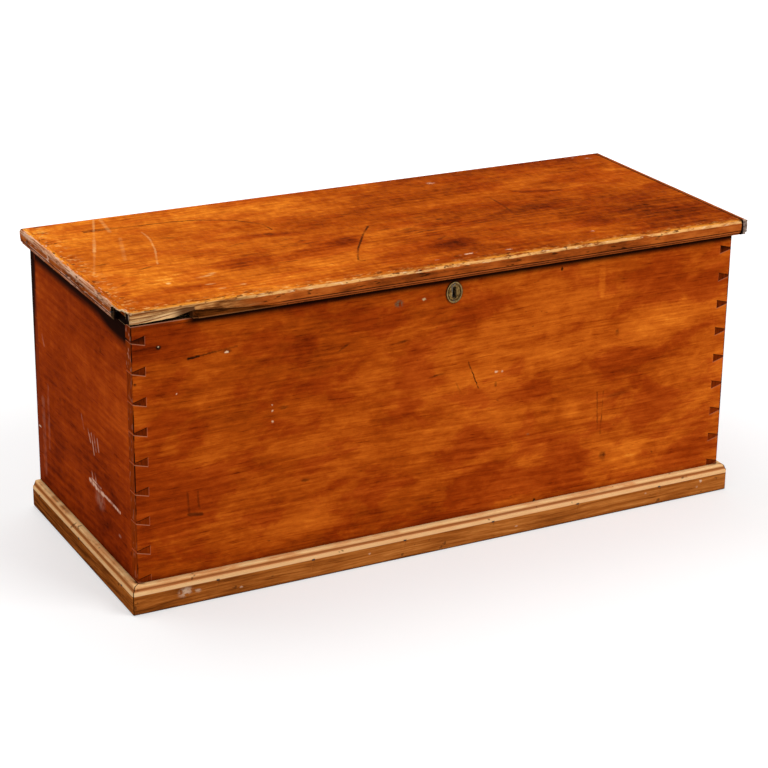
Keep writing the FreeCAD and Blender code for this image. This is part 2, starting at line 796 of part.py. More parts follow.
def lock_case():
    """The box over the works: four walls, open behind and on top, where the plate closes it."""
    body = make_body("lock_case")
    top, low = "-lock_plate", "-lock_plate - works_height"
    shell = make_sketch(body, "XZ", "shell", "lock_plate")
    rectangle(shell, "-works_width/2", "works_width/2", low, top)
    pad(body, shell, "works_depth")
    inside = make_sketch(body, "XZ", "inside", "lock_plate")
    rectangle(inside, "works_wall - works_width/2", "works_width/2 - works_wall", f"{low} + works_wall", top)
    pocket(body, inside, "works_depth - works_wall", back=True)
    hole = make_sketch(body, "XZ", "keyhole")
    keyhole(hole, "0", "-key_drop")
    pocket(body, hole)
    return place_lock(body)


def lock_bolt():
    """A bar with two posts, each with a prong for a staple, a talon for the key and a slot on the stump.

    It is drawn back to the left, so that each prong's point stands clear of its staple.
    """
    body = make_body("lock_bolt")
    left, right = "-bolt_tail_left", "-bolt_tail_right"
    top, low, tail_low = "-bolt_drop", "-bolt_drop - bolt_bar", "-bolt_drop - bolt_tail"
    prong_top = "-staple_head - bolt_play"
    prong_low = f"{prong_top} - bolt_prong"
    point = "(staple_thick/2 + bolt_play)"
    clear = "(bolt_throw + bolt_post + staple_thick/2 + 2*bolt_play)"
    talon_top = "key_sweep - key_drop + bolt_play/2"
    shape = make_sketch(body, "XZ", "shape", "bolt_y - bolt_thick/2")
    path = [(left, tail_low), (right, tail_low), (right, low),
            ("-1.5*talon_width", low), ("-1.5*talon_width", talon_top),
            ("-0.5*talon_width", talon_top), ("-0.5*talon_width", low)]
    for number, staple in enumerate(("staple_pitch - staple_first", "-staple_first")):
        post = f"{staple} - {clear}"
        path.append((f"{post} + bolt_post", low if number == 0 else top))
        path += [(f"{post} + bolt_post", prong_low), (f"{staple} - {point}", prong_low),
                 (f"{staple} - {point}", prong_top), (post, prong_top), (post, top)]
    outline(shape, path + [(left, top)])
    pad(body, shape, "bolt_thick")
    slot = make_sketch(body, "XZ", "slot")
    reach, middle = "(stump_size/2 + stump_play)", "-bolt_drop - bolt_tail/2"
    rectangle(slot, f"-stump_place - bolt_throw - {reach}", f"{reach} - stump_place",
              f"{middle} - {reach}", f"{middle} + {reach}")
    pocket(body, slot)
    return place_lock(body)


def lock_spring():
    """A bent strip that stands on the floor of the case and presses up under the bolt's tail."""
    body = make_body("lock_spring")
    wall = "works_wall - works_width/2 + spring_play"
    floor = "-lock_plate - works_height + works_wall"
    crest = "-bolt_drop - bolt_tail - spring_play"
    bend = f"{crest} - spring_sweep"
    shape = make_sketch(body, "XZ", "shape", "bolt_y - spring_width/2")
    outline(shape, [
        (f"{wall} + spring_foot", floor), (f"{wall} + spring_foot", f"{floor} + spring_thick"),
        (f"{wall} + spring_thick", f"{floor} + spring_thick"), (f"{wall} + spring_thick", bend),
        (f"{wall} + spring_sweep", f"{crest} - spring_thick", "spring_sweep - spring_thick", -1),
        (f"{wall} + spring_sweep", crest),
        (wall, bend, "spring_sweep", 1), (wall, floor),
    ])
    pad(body, shape, "spring_width")
    return place_lock(body)


def lock_strike():
    """The plate let in under the lid, with two staples that drop through the selvage."""
    body = make_body("lock_strike_blank")
    plate = make_sketch(body, "XY", "plate", "strike_play")
    rectangle(plate, "-strike_width/2", "strike_width/2", "-strike_depth", "0")
    pad(body, plate, "strike_plate")
    staple = make_sketch(body, "YZ", "staple", "-staple_first")
    rectangle(staple, "-bolt_y - staple_width/2", "-bolt_y + staple_width/2", "-staple_drop", "strike_play")
    eye = "(staple_width/2 - staple_leg)"
    rectangle(staple, f"-bolt_y - {eye}", f"-bolt_y + {eye}", "staple_foot - staple_drop", "-staple_head")
    pattern(body, pad(body, staple, "staple_thick", "Symmetric"), "X", "2", "staple_pitch")
    return place_lock(body)


def escutcheon():
    """An oval brass plate with a raised rim and a raised ring, pierced by the keyhole."""
    def oval(name, inset, thick):
        """An upright oval whose back is on y = 0."""
        edge = doc.addObject("Part::Ellipse", f"{name}_edge")
        edge.setExpression("MajorRadius", dims(f"plate_high/2 - {inset}"))
        edge.setExpression("MinorRadius", dims(f"plate_wide/2 - {inset}"))
        solid = doc.addObject("Part::Extrusion", name)
        solid.Base = edge
        solid.DirMode = "Custom"
        solid.Dir = Vector(0, 0, 1)
        solid.Solid = True
        solid.setExpression("LengthFwd", dims(thick))
        solid.Placement = Placement(Vector(), Rotation(Vector(0, 0, 1), Vector(-1, 0, 0), Vector(0, -1, 0)))
        return solid

    base = oval("plate_base_oval", "0", "plate_base")
    rim = cut("plate_rim", oval("plate_rim_outer", "0", "plate_base + rim_height"),
              [oval("plate_rim_inner", "rim_width", "plate_base + rim_height")])
    ring = cut("plate_ring", oval("plate_ring_outer", "ring_inset", "plate_base + ring_height"),
               [oval("plate_ring_inner", "ring_inset + ring_width", "plate_base + ring_height")])
    blank = fuse("escutcheon_blank", [base, rim, ring])
    hole_body = make_body("escutcheon_hole")
    hole = make_sketch(hole_body, "XZ", "keyhole")
    keyhole(hole, "0", "plate_drop - key_drop")
    pad(hole_body, hole, "4*plate_base + 4*rim_height", "Symmetric")
    plate = cut("escutcheon_plate", blank, [hole_body])
    place(plate, x="lock_x", y="case_front", z="case_top - plate_drop")
    return plate


# ---------------------------------------------------------------- the whole chest

nails_bottom, nails_plinth, nails_lid = bottom_nails(), plinth_nails(), lid_nails()
screws_case = hinge_screws("hinge_case_screws", "hinge_z - lid_gap/2", Vector(0, 0, -1))
screws_lid = hinge_screws("hinge_lid_screws", "hinge_z + lid_gap/2", Vector(0, 0, 1))
screws_lock, screws_strike, pins_plate = lock_screws(), strike_screws(), escutcheon_pins()

front_half = ("case_front", "case_middle - bottom_joint/2")
rear_half = ("case_middle + bottom_joint/2", "case_back")

pieces = [
    nails_bottom, nails_plinth, nails_lid,
    screws_case, screws_lid, screws_lock, screws_strike, pins_plate,
    lock_case(), lock_bolt(), lock_spring(),
    cut("front_board", front_board(), [nails_bottom, nails_plinth, screws_lock, pins_plate]),
    cut("back_board", back_board(), [nails_bottom, screws_case]),
    cut("end_board_left", end_board("end_board_left", -1), [nails_bottom, nails_plinth]),
    cut("end_board_right", end_board("end_board_right", 1), [nails_bottom, nails_plinth]),
    cut("bottom_board_front", bottom_board("bottom_board_front", *front_half), [nails_bottom]),
    cut("bottom_board_rear", bottom_board("bottom_board_rear", *rear_half), [nails_bottom]),
    cut("plinth_front", plinth_front(), [nails_plinth]),
    cut("plinth_left", plinth_side("plinth_left", -1), [nails_plinth]),
    cut("plinth_right", plinth_side("plinth_right", 1), [nails_plinth]),
    cut("lid_board", lid_board(), [nails_lid, screws_lid, screws_strike]),
    cut("lid_moulding_left", lid_moulding("lid_moulding_left", -1), [nails_lid]),
    cut("lid_moulding_right", lid_moulding("lid_moulding_right", 1), [nails_lid]),
    cut("lock_plate", lock_plate(), [screws_lock]),
    cut("lock_strike", lock_strike(), [screws_strike]),
    cut("escutcheon", escutcheon(), [pins_plate]),
]
for side, word in ((-1, "left"), (1, "right")):
    centre = f"{side}*hinge_place"
    pieces += [
        cut(f"hinge_{word}_case_leaf", hinge_leaf(f"hinge_{word}_case", -1, centre), [screws_case]),
        cut(f"hinge_{word}_lid_leaf", hinge_leaf(f"hinge_{word}_lid", 1, centre), [screws_lid]),
        hinge_pin(f"hinge_{word}_pin", centre),
    ]
doc.recompute()

for item in doc.Objects:
    if any(word in item.State for word in ("Invalid", "Error")):
        raise RuntimeError(f"{item.Label} failed: {item.State}")
for item in pieces:
    if item.Shape.isNull() or not item.Shape.isValid() or not item.Shape.Solids:
        raise RuntimeError(f"{item.Label} has no valid shape")
for item in pieces:
    item.Shape.exportStep(f"parts/{item.Label}.step")
    print(item.Label, len(item.Shape.Solids), round(item.Shape.Volume/1000, 2), "cm3")
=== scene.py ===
"""Looks for the blanket chest: shellacked pine with worn and broken edges, brass and iron, under soft studio light.

Metres, in the part's own frame: +X along the front, -Y towards the front, +Z up from the floor.
"""
import functools
import json
import math

import bmesh
import bpy
from mathutils import Matrix, Vector, noise

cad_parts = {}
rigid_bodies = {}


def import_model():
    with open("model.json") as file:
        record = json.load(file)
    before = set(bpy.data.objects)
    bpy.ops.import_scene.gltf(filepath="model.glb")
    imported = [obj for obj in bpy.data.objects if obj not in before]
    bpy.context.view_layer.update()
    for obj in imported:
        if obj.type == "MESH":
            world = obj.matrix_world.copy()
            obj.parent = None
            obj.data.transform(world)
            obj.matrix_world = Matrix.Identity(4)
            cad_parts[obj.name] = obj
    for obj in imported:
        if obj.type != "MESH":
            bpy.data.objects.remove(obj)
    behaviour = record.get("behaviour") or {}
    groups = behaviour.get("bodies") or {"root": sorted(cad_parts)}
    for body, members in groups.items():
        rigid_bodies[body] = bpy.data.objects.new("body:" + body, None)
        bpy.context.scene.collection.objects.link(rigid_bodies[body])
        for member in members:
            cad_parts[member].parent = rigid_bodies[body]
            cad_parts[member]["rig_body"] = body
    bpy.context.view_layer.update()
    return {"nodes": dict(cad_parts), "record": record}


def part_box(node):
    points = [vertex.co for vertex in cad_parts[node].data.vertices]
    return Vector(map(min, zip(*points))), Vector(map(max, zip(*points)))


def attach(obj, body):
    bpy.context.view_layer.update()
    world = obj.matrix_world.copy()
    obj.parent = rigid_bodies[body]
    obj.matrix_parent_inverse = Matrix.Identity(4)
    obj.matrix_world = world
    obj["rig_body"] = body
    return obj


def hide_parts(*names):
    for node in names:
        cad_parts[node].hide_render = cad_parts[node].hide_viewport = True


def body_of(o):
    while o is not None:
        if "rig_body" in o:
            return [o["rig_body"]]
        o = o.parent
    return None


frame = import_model()
nodes = frame["nodes"]

MM = 0.001

# ---- measures taken from the frame

LID_LOW, LID_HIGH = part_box("lid_board")
CASE_LOW, CASE_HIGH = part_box("front_board")
CASE_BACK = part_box("back_board")[1].y
PLINTH_LOW, PLINTH_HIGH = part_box("plinth_front")
SIDE_LOW, SIDE_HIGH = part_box("lid_moulding_left")
SIDE_REACH = -SIDE_LOW.x
NOSE_BACK = LID_LOW.y + 14*MM
BREAK_BACK = LID_LOW.y + 52*MM
TORN_BACK = BREAK_BACK + 14*MM
SPLIT_END = LID_LOW.x + 103*MM
SPLIT_DEPTH = 27*MM
WORN_END = SPLIT_END + 155*MM
PLINTH_RADIUS = 5*MM
SKIN = 0.2*MM
QUIRK_LOW = Vector((13.3*MM, 0, 38.6*MM))
QUIRK_HIGH = Vector((10.7*MM, 0, 45.4*MM))
# dovetails: pins narrow at the corner and wide inside, evenly spaced up the case
PIN_COUNT = 9
FIRST_PIN = 25.4*MM
PIN_NARROW = 3*MM
PIN_WIDE = 15*MM
BOARD = 22*MM

# the photograph's camera, fitted to the chest's edges, and its white surroundings
SENSOR, LENS, SHIFT = 36.0, 105.69, (-0.0243, -0.0247)
TARGET, DISTANCE = Vector((0.036, 0.005, 0.241)), 3.909
AZIMUTH, ELEVATION, ROLL = (math.radians(angle) for angle in (-28.15, 20.65, 0.89))
WORLD_LIGHT = 0.45

# how much of a mark is full before it fades, and how worn meshes are welded and shaded
PATCH_CORE, LINE_CORE, FAR_OFF = 0.25, 0.2, 1000.0
WELD, SHARP_ANGLE = 1e-6, 0.7


# ---- node material helpers

class Tree:
    """The nodes of a material or of the world. Values are numbers, colours or sockets."""

    def __init__(self, owner):
        owner.use_nodes = True
        self.tree = owner.node_tree
        self.tree.nodes.clear()

    def new(self, kind, **inputs):
        node = self.tree.nodes.new("ShaderNode" + kind)
        for name, value in inputs.items():
            self.put(node.inputs[name.replace("_", " ")], value)
        return node

    def put(self, socket, value):
        if isinstance(value, bpy.types.NodeSocket):
            self.tree.links.new(value, socket)
        elif isinstance(value, tuple) and len(value) == 3 and socket.type == "RGBA":
            socket.default_value = (*value, 1)
        else:
            socket.default_value = value

    def join(self, kind, *values):
        """A node with the values in its first inputs."""
        node = self.new(kind)
        for socket, value in zip(node.inputs, values):
            self.put(socket, value)
        return node

    def operate(self, family, kind, values):
        node = self.join(family, *values)
        node.operation = kind
        return node

    def math(self, kind, *values):
        return self.operate("Math", kind, values).outputs[0]

    def vector(self, kind, *values):
        return self.operate("VectorMath", kind, values)

    def fold(self, kind, values):
        return functools.reduce(lambda total, value: self.math(kind, total, value), values)

    def add(self, *values):
        return self.fold("ADD", values)

    def times(self, *values):
        return self.fold("MULTIPLY", values)

    def most(self, *values):
        return self.fold("MAXIMUM", values)

    def least(self, *values):
        return self.fold("MINIMUM", values)


class Shader(Tree):
    """A material under way; colour is what is painted so far."""

    def __init__(self, name):
        self.material = bpy.data.materials.new(name)
        super().__init__(self.material)
        self.out = self.new("OutputMaterial")
        self.surface = self.new("BsdfPrincipled")
        self.put(self.out.inputs[0], self.surface.outputs[0])
        coords = self.new("TexCoord")
        self.place = coords.outputs["Object"]
        self.facing = coords.outputs["Normal"]
        self.x, self.y, self.z = self.split(self.place)
        self.stretched = {}
        self.colour = None

    def length(self, *values):
        return self.vector("LENGTH", *values).outputs["Value"]

    def dot(self, *values):
        return self.vector("DOT_PRODUCT", *values).outputs["Value"]

    def less(self, value, taken):
        return self.math("SUBTRACT", value, taken)

    def size(self, value):
        return self.math("ABSOLUTE", value)

    def axes(self, x, y, z):
        return self.new("CombineXYZ", X=x, Y=y, Z=z).outputs[0]

    def split(self, vector):
        return self.new("SeparateXYZ", Vector=vector).outputs

    def step(self, value, low, high, to_low=0.0, to_high=1.0):
        """A smooth change as value goes from low to high."""
        node = self.new("MapRange", Value=value, From_Min=low, From_Max=high, To_Min=to_low, To_Max=to_high)
        node.interpolation_type = "SMOOTHSTEP"
        return node.outputs[0]

    def fade(self, value, low, high):
        """1 up to low, and 0 from high on."""
        return self.step(value, low, high, 1.0, 0.0)

    def over(self, value, edge, soft=SKIN):
        """1 where value is above edge."""
        return self.step(value, edge - soft, edge + soft)

    def under(self, value, edge, soft=SKIN):
        """1 where value is below edge."""
        return self.fade(value, edge - soft, edge + soft)

    def line(self, value, level, core, rim, top=1.0):
        """A band where value is near level: full within its core and gone at its rim."""
        return self.step(self.size(self.add(value, -level)), core, rim, top, 0.0)

    def noise(self, scale, detail=4.0, rough=0.55, where=None, warp=0.0):
        """Noise about 0.5; scale is a number or one per axis, in waves a metre.

        Stretches are rounded to powers of two and shared, because a shader has room for few vectors at a time.
        """
        where = where or self.place
        if isinstance(scale, tuple):
            stretch = tuple(2.0**round(math.log2(each/scale[0])) for each in scale)
            scale = scale[0]
            key = (where.node.name, stretch)
            if key not in self.stretched:
                self.stretched[key] = self.new("Mapping", Vector=where, Scale=stretch).outputs[0]
            where = self.stretched[key]
        return self.new("TexNoise", Vector=where, Scale=scale, Detail=detail, Roughness=rough,
                        Distortion=warp).outputs["Fac"]

    def swing(self, amount, scale, *details, **more):
        """Noise about 0, of a given amount."""
        return self.times(self.add(self.noise(scale, *details, **more), -0.5), amount)

    def spots(self, scale, low, high, detail=3.0, rough=0.6):
        """Ragged spots where noise passes from low to high."""
        return self.step(self.noise(scale, detail, rough), low, high)

    def sheen(self, least, scale, spread=0.2):
        """Uneven roughness."""
        return self.add(least, self.times(self.noise(scale), spread))

    def mix(self, amount, low, high, kind="MIX"):
        node = self.new("Mix")
        node.data_type = "RGBA"
        node.blend_type = kind
        for index, value in ((0, amount), (6, low), (7, high)):
            self.put(node.inputs[index], value)
        return node.outputs[2]

    def coat(self, *masks_and_colour):
        """Lays a colour over what is painted so far, where all of the masks before it are."""
        *masks, colour = masks_and_colour
        self.colour = self.mix(self.times(*masks), self.colour, colour)

    def ramp(self, value, stops):
        node = self.new("ValToRGB", Fac=value)
        while len(node.color_ramp.elements) < len(stops):
            node.color_ramp.elements.new(0.5)
        for element, (place, colour) in zip(node.color_ramp.elements, stops):
            element.position = place
            element.color = (*colour, 1)
        return node.outputs[0]

    def crevices(self, reach, power):
        """0 in the open, towards 1 in corners, joints and under lips: painted shade on the wood, dirt in the metal's
        hollows.
        """
        node = self.new("AmbientOcclusion", Distance=reach)
        node.samples = 6
        return self.math("POWER", self.less(1.0, node.outputs["AO"]), power)

    def page(self, first, second):
        """Millimetres on a flat face, unsettled a little so that marks have broken edges."""
        loose = (self.add(self.times(axis, 1/MM), self.swing(4.0, size, 3.0, 0.6))
                 for axis, size in ((first, 190.0), (second, 230.0)))
        return self.axes(*loose, 0.0)

    def patch(self, page, x, y, long, wide, turn=0.0):
        """An oval mask, full within its core and fading to its rim."""
        cos, sin = math.cos(math.radians(turn)), math.sin(math.radians(turn))
        away = self.vector("SUBTRACT", page, (x, y, 0.0)).outputs[0]
        along = self.dot(away, (cos/long, sin/long, 0.0))
        across = self.dot(away, (-sin/wide, cos/wide, 0.0))
        return self.fade(self.length(self.axes(along, across, 0.0)), PATCH_CORE, 1.0)

    def stroke(self, page, points, width):
        """A mask along a line through some points."""
        nearest = FAR_OFF
        for start, end in zip(points, points[1:]):
            run = (end[0] - start[0], end[1] - start[1], 0.0)
            away = self.vector("SUBTRACT", page, (*start, 0.0)).outputs[0]
            share = self.math("DIVIDE", self.dot(away, run), run[0]**2 + run[1]**2)
            share.node.use_clamp = True
            foot = self.vector("SCALE", run)
            self.put(foot.inputs["Scale"], share)
            nearest = self.least(nearest, self.vector("DISTANCE", away, foot.outputs[0]).outputs["Value"])
        return self.fade(nearest, LINE_CORE*width, width)

    def marks(self, page, items):
        """The strongest of several marks."""
        strongest = 0.0
        for strength, *shape in items:
            draw = self.stroke if isinstance(shape[0], list) else self.patch
            strongest = self.most(strongest, self.times(draw(page, *shape), strength))
        return strongest

    def finish(self, rough, height=None, distance=0.0006, specular=0.001, metal=0.0):
        inputs = self.surface.inputs
        self.put(inputs["Base Color"], self.colour)
        self.put(inputs["Roughness"], rough)
        inputs["Specular IOR Level"].default_value = specular
        inputs["Metallic"].default_value = metal
        if height is not None:
            bump = self.new("Bump", Height=height, Strength=1.0, Distance=distance)
            self.put(inputs["Normal"], bump.outputs[0])
        return self.material


# ---- wood

SHELLAC = [(0.0, (0.04, 0.005, 0.0006)), (0.22, (0.2, 0.023, 0.0012)), (0.48, (0.38, 0.055, 0.0025)),
           (0.7, (0.56, 0.105, 0.006)), (0.88, (0.74, 0.172, 0.011)), (1.0, (0.86, 0.29, 0.03))]
STAIN = [(0.0, (0.03, 0.007, 0.001)), (0.25, (0.16, 0.038, 0.005)), (0.5, (0.36, 0.098, 0.014)),
         (0.75, (0.56, 0.19, 0.036)), (1.0, (0.82, 0.42, 0.14))]
NOSE = [(0.0, (0.03, 0.006, 0.001)), (0.25, (0.14, 0.027, 0.004)), (0.5, (0.37, 0.074, 0.009)),
        (0.75, (0.58, 0.15, 0.022)), (1.0, (0.85, 0.42, 0.15))]
RAW = [(0.0, (0.02, 0.006, 0.001)), (0.3, (0.19, 0.055, 0.011)), (0.55, (0.48, 0.19, 0.05)),
       (0.8, (0.76, 0.42, 0.16)), (1.0, (0.95, 0.7, 0.42))]
BARE = [(0.0, (0.07, 0.035, 0.012)), (0.3, (0.27, 0.15, 0.06)), (0.6, (0.45, 0.29, 0.14)), (1.0, (0.64, 0.47, 0.28))]
# near black: painted shade in hollows, gaps, keyholes and under lips, and also dark specks and joint lines
SHADE_AND_SOOT = (0.006, 0.002, 0.001)
CORNER_DARK = (0.012, 0.004, 0.002)
INK = (0.022, 0.006, 0.002)
UMBER = (0.09, 0.018, 0.003)

# Marks in millimetres on a face, along it and up or back. (strength, x, y, long, wide, turn) is an oval patch, turned
# by degrees if at all, and (strength, points, width) is a line.
LID_SCARS = [
    (0.7, -305, -95, 75, 40, 8), (0.6, 40, -152, 75, 34, 8), (0.7, -115, -62, 62, 32, 20),
    (0.4, -220, 25, 90, 16, 172), (0.45, -190, -90, 80, 26, 8), (0.3, 210, 10, 60, 22, 12), (0.35, 322, -145, 55, 34),
    (0.5, 330, 58, 60, 12, 168), (0.4, -440, -175, 90, 20), (0.4, 420, 100, 110, 34, 5), (0.3, -40, 72, 60, 18)
]
LID_GLOW = [
    (0.2, -480, 60, 90, 90), (0.3, -290, 165, 140, 30, 4), (0.55, 90, 70, 170, 40, 6), (0.5, -60, 130, 140, 36, 5),
    (0.5, 230, -70, 150, 34, 4), (0.3, 0, -80, 60, 20, 3), (0.35, -400, -60, 90, 30, 4),
    (0.4, -200, -190, 120, 20, 4)
]
LID_CRACKS = [
    (0.9, [(-478, 166), (-416, 164), (-331, 161), (-284, 152), (-229, 126), (-193, 84), (-191, 50)], 2.6),
    (0.5, [(-478, 172), (-430, 170), (-380, 160)], 4), (0.95, [(-37, -1), (-65, -38), (-89, -75)], 2.8),
    (0.7, [(-89, -75), (-107, -103), (-124, -135)], 2.8), (0.5, [(-124, -135), (-135, -159), (-126, -164)], 2.6),
    (0.9, -38, -2, 7, 4, 30), (0.5, [(232, 56), (230, 10), (224, -34)], 3), (0.8, 296, 74, 14, 6, 160),
    (0.45, [(300, 68), (369, 46)], 5), (0.7, 90, -17, 9, 5), (0.5, 46, -66, 14, 5), (0.5, -44, 74, 18, 3, 160),
    (0.7, -207, 29, 16, 5, 160), (0.7, -365, 79, 20, 6, 160), (0.6, -515, -8, 20, 5, 10),
    (0.8, -516, -114, 14, 5, 40), (0.5, -456, -52, 24, 4, 20), (0.5, 101, -104, 12, 4), (0.5, 42, -112, 22, 4, 30),
    (0.45, 26, -68, 24, 4, 20), (0.45, -20, -30, 22, 4, 10), (0.9, 18, -208, 8, 3.5), (0.6, -104, -212, 8, 6, 30),
    (0.4, -340, -25, 36, 2.5, 4), (0.4, -272, 0, 26, 3, 10)
]
LID_SCRATCHES = [
    (0.26, [(-440, 225), (-478, 120)], 3), (0.45, [(-478, 120), (-500, 60)], 4), (0.22, [(-500, 60), (-540, -46)], 3),
    (0.34, [(-392, 128), (-392, 105), (-395, 81)], 2.6), (0.3, [(-395, 81), (-408, 28), (-432, -41)], 2.6),
    (0.14, [(-436, 112), (-471, 0)], 5), (0.18, [(-429, 220), (-439, 150)], 5), (0.9, -453, -138, 6, 5, 20),
    (0.5, -388, -129, 22, 5, 10), (0.5, -372, -120, 10, 4), (0.5, -395, -168, 12, 4), (0.6, -387, -194, 9, 5),
    (0.6, -350, -190, 8, 4)
]
LID_FLECKS = [
    (0.55, 182, 182, 11, 9), (0.4, 497, 222, 12, 7), (0.3, 528, 206, 10, 8), (0.8, 41, -205, 20, 4, 5),
    (0.4, -20, -211, 14, 3), (0.9, 289, -186, 6, 4), (0.6, 115, -213, 12, 4)
]
CASE_CLOUDS = [
    (0.34, -480, 290, 80, 60), (0.45, -490, 440, 90, 40), (0.4, 60, 70, 200, 38, 6), (0.5, 240, 110, 60, 40),
    (0.34, 30, 180, 90, 40, 10), (0.75, -490, 190, 110, 90), (0.4, 400, 425, 110, 44), (0.4, 500, 90, 60, 60),
    (0.3, 160, 250, 70, 25, 10), (0.6, 215, 100, 80, 60), (0.5, 80, 110, 110, 40, 6), (0.45, 345, 270, 90, 40, 4),
    (0.4, 400, 180, 80, 40), (0.2, 500, 400, 40, 90), (0.4, -440, 190, 70, 34), (0.3, -60, 330, 60, 60),
    (0.4, -200, 150, 30, 14, 10), (0.3, -270, 330, 60, 30), (0.3, -100, 250, 70, 20, 20)
]
CASE_GLOW = [
    (0.9, 238, 204, 26, 24), (0.7, 365, 110, 56, 26, 14), (0.6, 170, 415, 70, 34, 18), (0.75, 235, 322, 110, 44, 8),
    (0.45, -400, 250, 110, 34, 8), (0.5, 290, 430, 9, 45), (0.6, 190, 380, 100, 44, 8), (0.6, 410, 330, 110, 44, 4),
    (0.5, 440, 240, 70, 30), (0.5, -60, 190, 110, 40, 4), (0.4, -250, 240, 120, 24, 10), (0.35, 60, 300, 90, 26, 5),
    (0.45, 430, 330, 80, 36, 8), (0.45, -300, 90, 160, 30, 5), (0.35, -60, 100, 90, 24, 5),
    (0.35, -430, 340, 70, 20, 8), (0.4, 100, 380, 60, 30, 10)
]
CASE_CRACKS = [
    (0.8, [(-458, 409), (-440, 411)], 3.4), (0.5, [(-440, 411), (-376, 417)], 2.2),
    (0.7, [(36, 324), (56, 275)], 1.8), (0.5, [(14, 290), (22, 274)], 2), (0.3, [(-464, 188), (-461, 153)], 3),
    (0.3, [(-446, 184), (-444, 156)], 3), (0.5, [(-461, 149), (-440, 146)], 5), (0.4, [(290, 228), (294, 160)], 1.8),
    (0.4, [(303, 228), (300, 150)], 2), (0.6, 307, 108, 9, 13), (0.25, 325, 216, 46, 7, 8), (0.9, -506, 435, 6, 5),
    (0.5, -297, 302, 12, 5), (0.6, 325, 330, 5, 9), (0.45, -193, 385, 18, 3, 30), (0.6, -260, 170, 10, 5),
    (0.7, 172, 51, 4, 4), (0.6, 89, 276, 4, 6), (0.6, -22, 310, 26, 2.5, 8), (0.7, 210, 460, 3, 5),
    (0.8, -545, 381, 4, 4), (0.5, -90, 378, 20, 3, 6), (0.9, -394, 412, 11, 6), (0.7, -96, 446, 9, 7)
]
CASE_CHIPS = [
    (1.0, -394, 410, 5, 2.5), (0.7, 89, 298, 4, 3), (0.5, 101, 297, 3, 3), (0.7, -317, 299, 2.6, 2.6),
    (0.7, -317, 281, 2.6, 2.6), (0.5, -317, 309, 2, 2), (0.6, -506, 436, 2, 2), (0.6, -478, 355, 2, 2)
]
END_CHALK = [
    (0.25, [(10, 250), (0, 228)], 3), (0.45, [(-19, 234), (-29, 216)], 3), (0.45, [(-34, 232), (-44, 200)], 3),
    (0.4, [(-46, 234), (-54, 208)], 2.5), (0.35, [(-60, 232), (-66, 212)], 3), (0.3, [(-30, 164), (-36, 150)], 3),
    (0.3, [(-44, 166), (-50, 150)], 3), (1.0, [(-20, 146), (-60, 143), (-80, 143)], 5.5),
    (1.0, [(-76, 144), (-110, 144), (-154, 142)], 3.5), (0.7, [(-30, 152), (-70, 150)], 3),
    (0.08, [(200, 207), (201, 77)], 12), (0.07, [(172, 240), (176, 130)], 8), (0.2, [(190, 327), (182, 312)], 5),
    (0.16, -64, 128, 30, 22), (0.25, -150, 100, 9, 4)
]
END_SPOTS = [
    (0.7, -211, 72, 9, 9), (0.5, -200, 90, 6, 6), (0.4, -89, 393, 6, 7), (0.35, 112, 238, 8, 6),
    (0.5, -206, 190, 5, 7)
]
PLINTH_CHIPS = [
    (0.6, -476, 24, 17, 11, 10), (0.5, -455, 22, 8, 5), (0.8, 392, 26, 3, 3), (0.8, 508, 27, 4, 4),
    (0.6, 500, 17, 3, 3), (0.5, -150, 22, 3, 2), (0.5, -380, 12, 4, 2), (0.4, 130, 16, 4, 2)
]


def along_grain(s, along, seed=0.0):
    """Coordinates turned so that the grain runs along the first axis."""
    first, second = (s.x, s.y) if along == "x" else (s.y, s.x)
    return s.axes(first, s.add(second, seed), s.z)


def grain(s, where, fibre=0.42, streak=0.5, cloud=0.5, short=1.0):
    """Pine figure about 0: fibres, streaks, clouds of thicker finish, faint rings and short pores.

    short above 1 makes the fibres and streaks shorter.
    """
    wander = s.swing(0.05, (1.3, 5, 5), 2.0, 0.5, where=where)
    bent = s.vector("ADD", where, s.axes(0.0, wander, wander)).outputs[0]
    across = s.split(bent)
    lap = s.math("SINE", s.times(s.add(across[1], across[2]), 420.0))
    rings = s.times(lap, s.step(s.noise((2, 8, 8), 2.0, 0.5, where), 0.42, 0.62, 0.0, 0.05))
    pores = s.step(s.noise((26, 420, 420), 2.0, 0.5, bent), 0.6, 0.76, 0.0, -0.2)
    parts = [s.swing(fibre, (7*short, 250, 250), 3.0, 0.7, where=bent),
             s.swing(streak, (12*short, 100, 100), 5.0, 0.66, where=bent),
             s.swing(cloud, (12, 18, 18), 6.0, 0.68, where=where, warp=0.5),
             s.swing(cloud*0.9, (36*short, 60, 60), 5.0, 0.66, where=where, warp=0.4),
             s.swing(cloud*1.3, (3.2, 6, 6), 3.0, 0.5, where=where), rings, pores]
    return s.add(*parts)


def shellacked(s, tone, tint):
    """Shellac from dark and thick at 0 to thin at 1, tinted."""
    return s.mix(1.0, s.ramp(tone, SHELLAC), tint, "MULTIPLY")


def clouded(s, where, thick, thin, red):
    """Lays on patches of thicker, redder finish: more of them where thick is, fewer where thin is."""
    patches = s.add(s.noise((11, 16, 16), 6.0, 0.66, where, 0.5), s.times(thick, 0.3), s.times(thin, -0.3))
    s.coat(s.step(patches, 0.44, 0.6), s.mix(1.0, s.colour, red, "MULTIPLY"))


def outermost(s, value, low, high):
    """1 on the two outer faces across an axis."""
    return s.most(s.under(value, low + 2*SKIN), s.over(value, high - 2*SKIN))


def back_corner(s):
    """Darkening down the back corners of the case, widest under the lid."""
    reach = s.add(s.y, s.step(s.z, 0.2, 0.46, -8*MM, 12*MM), s.swing(8*MM, (20, 20, 50), 3.0, 0.6))
    return s.times(s.step(reach, CASE_BACK - 16*MM, CASE_BACK - 3*MM), s.step(s.z, 0.15, 0.4, 0.6, 0.96))


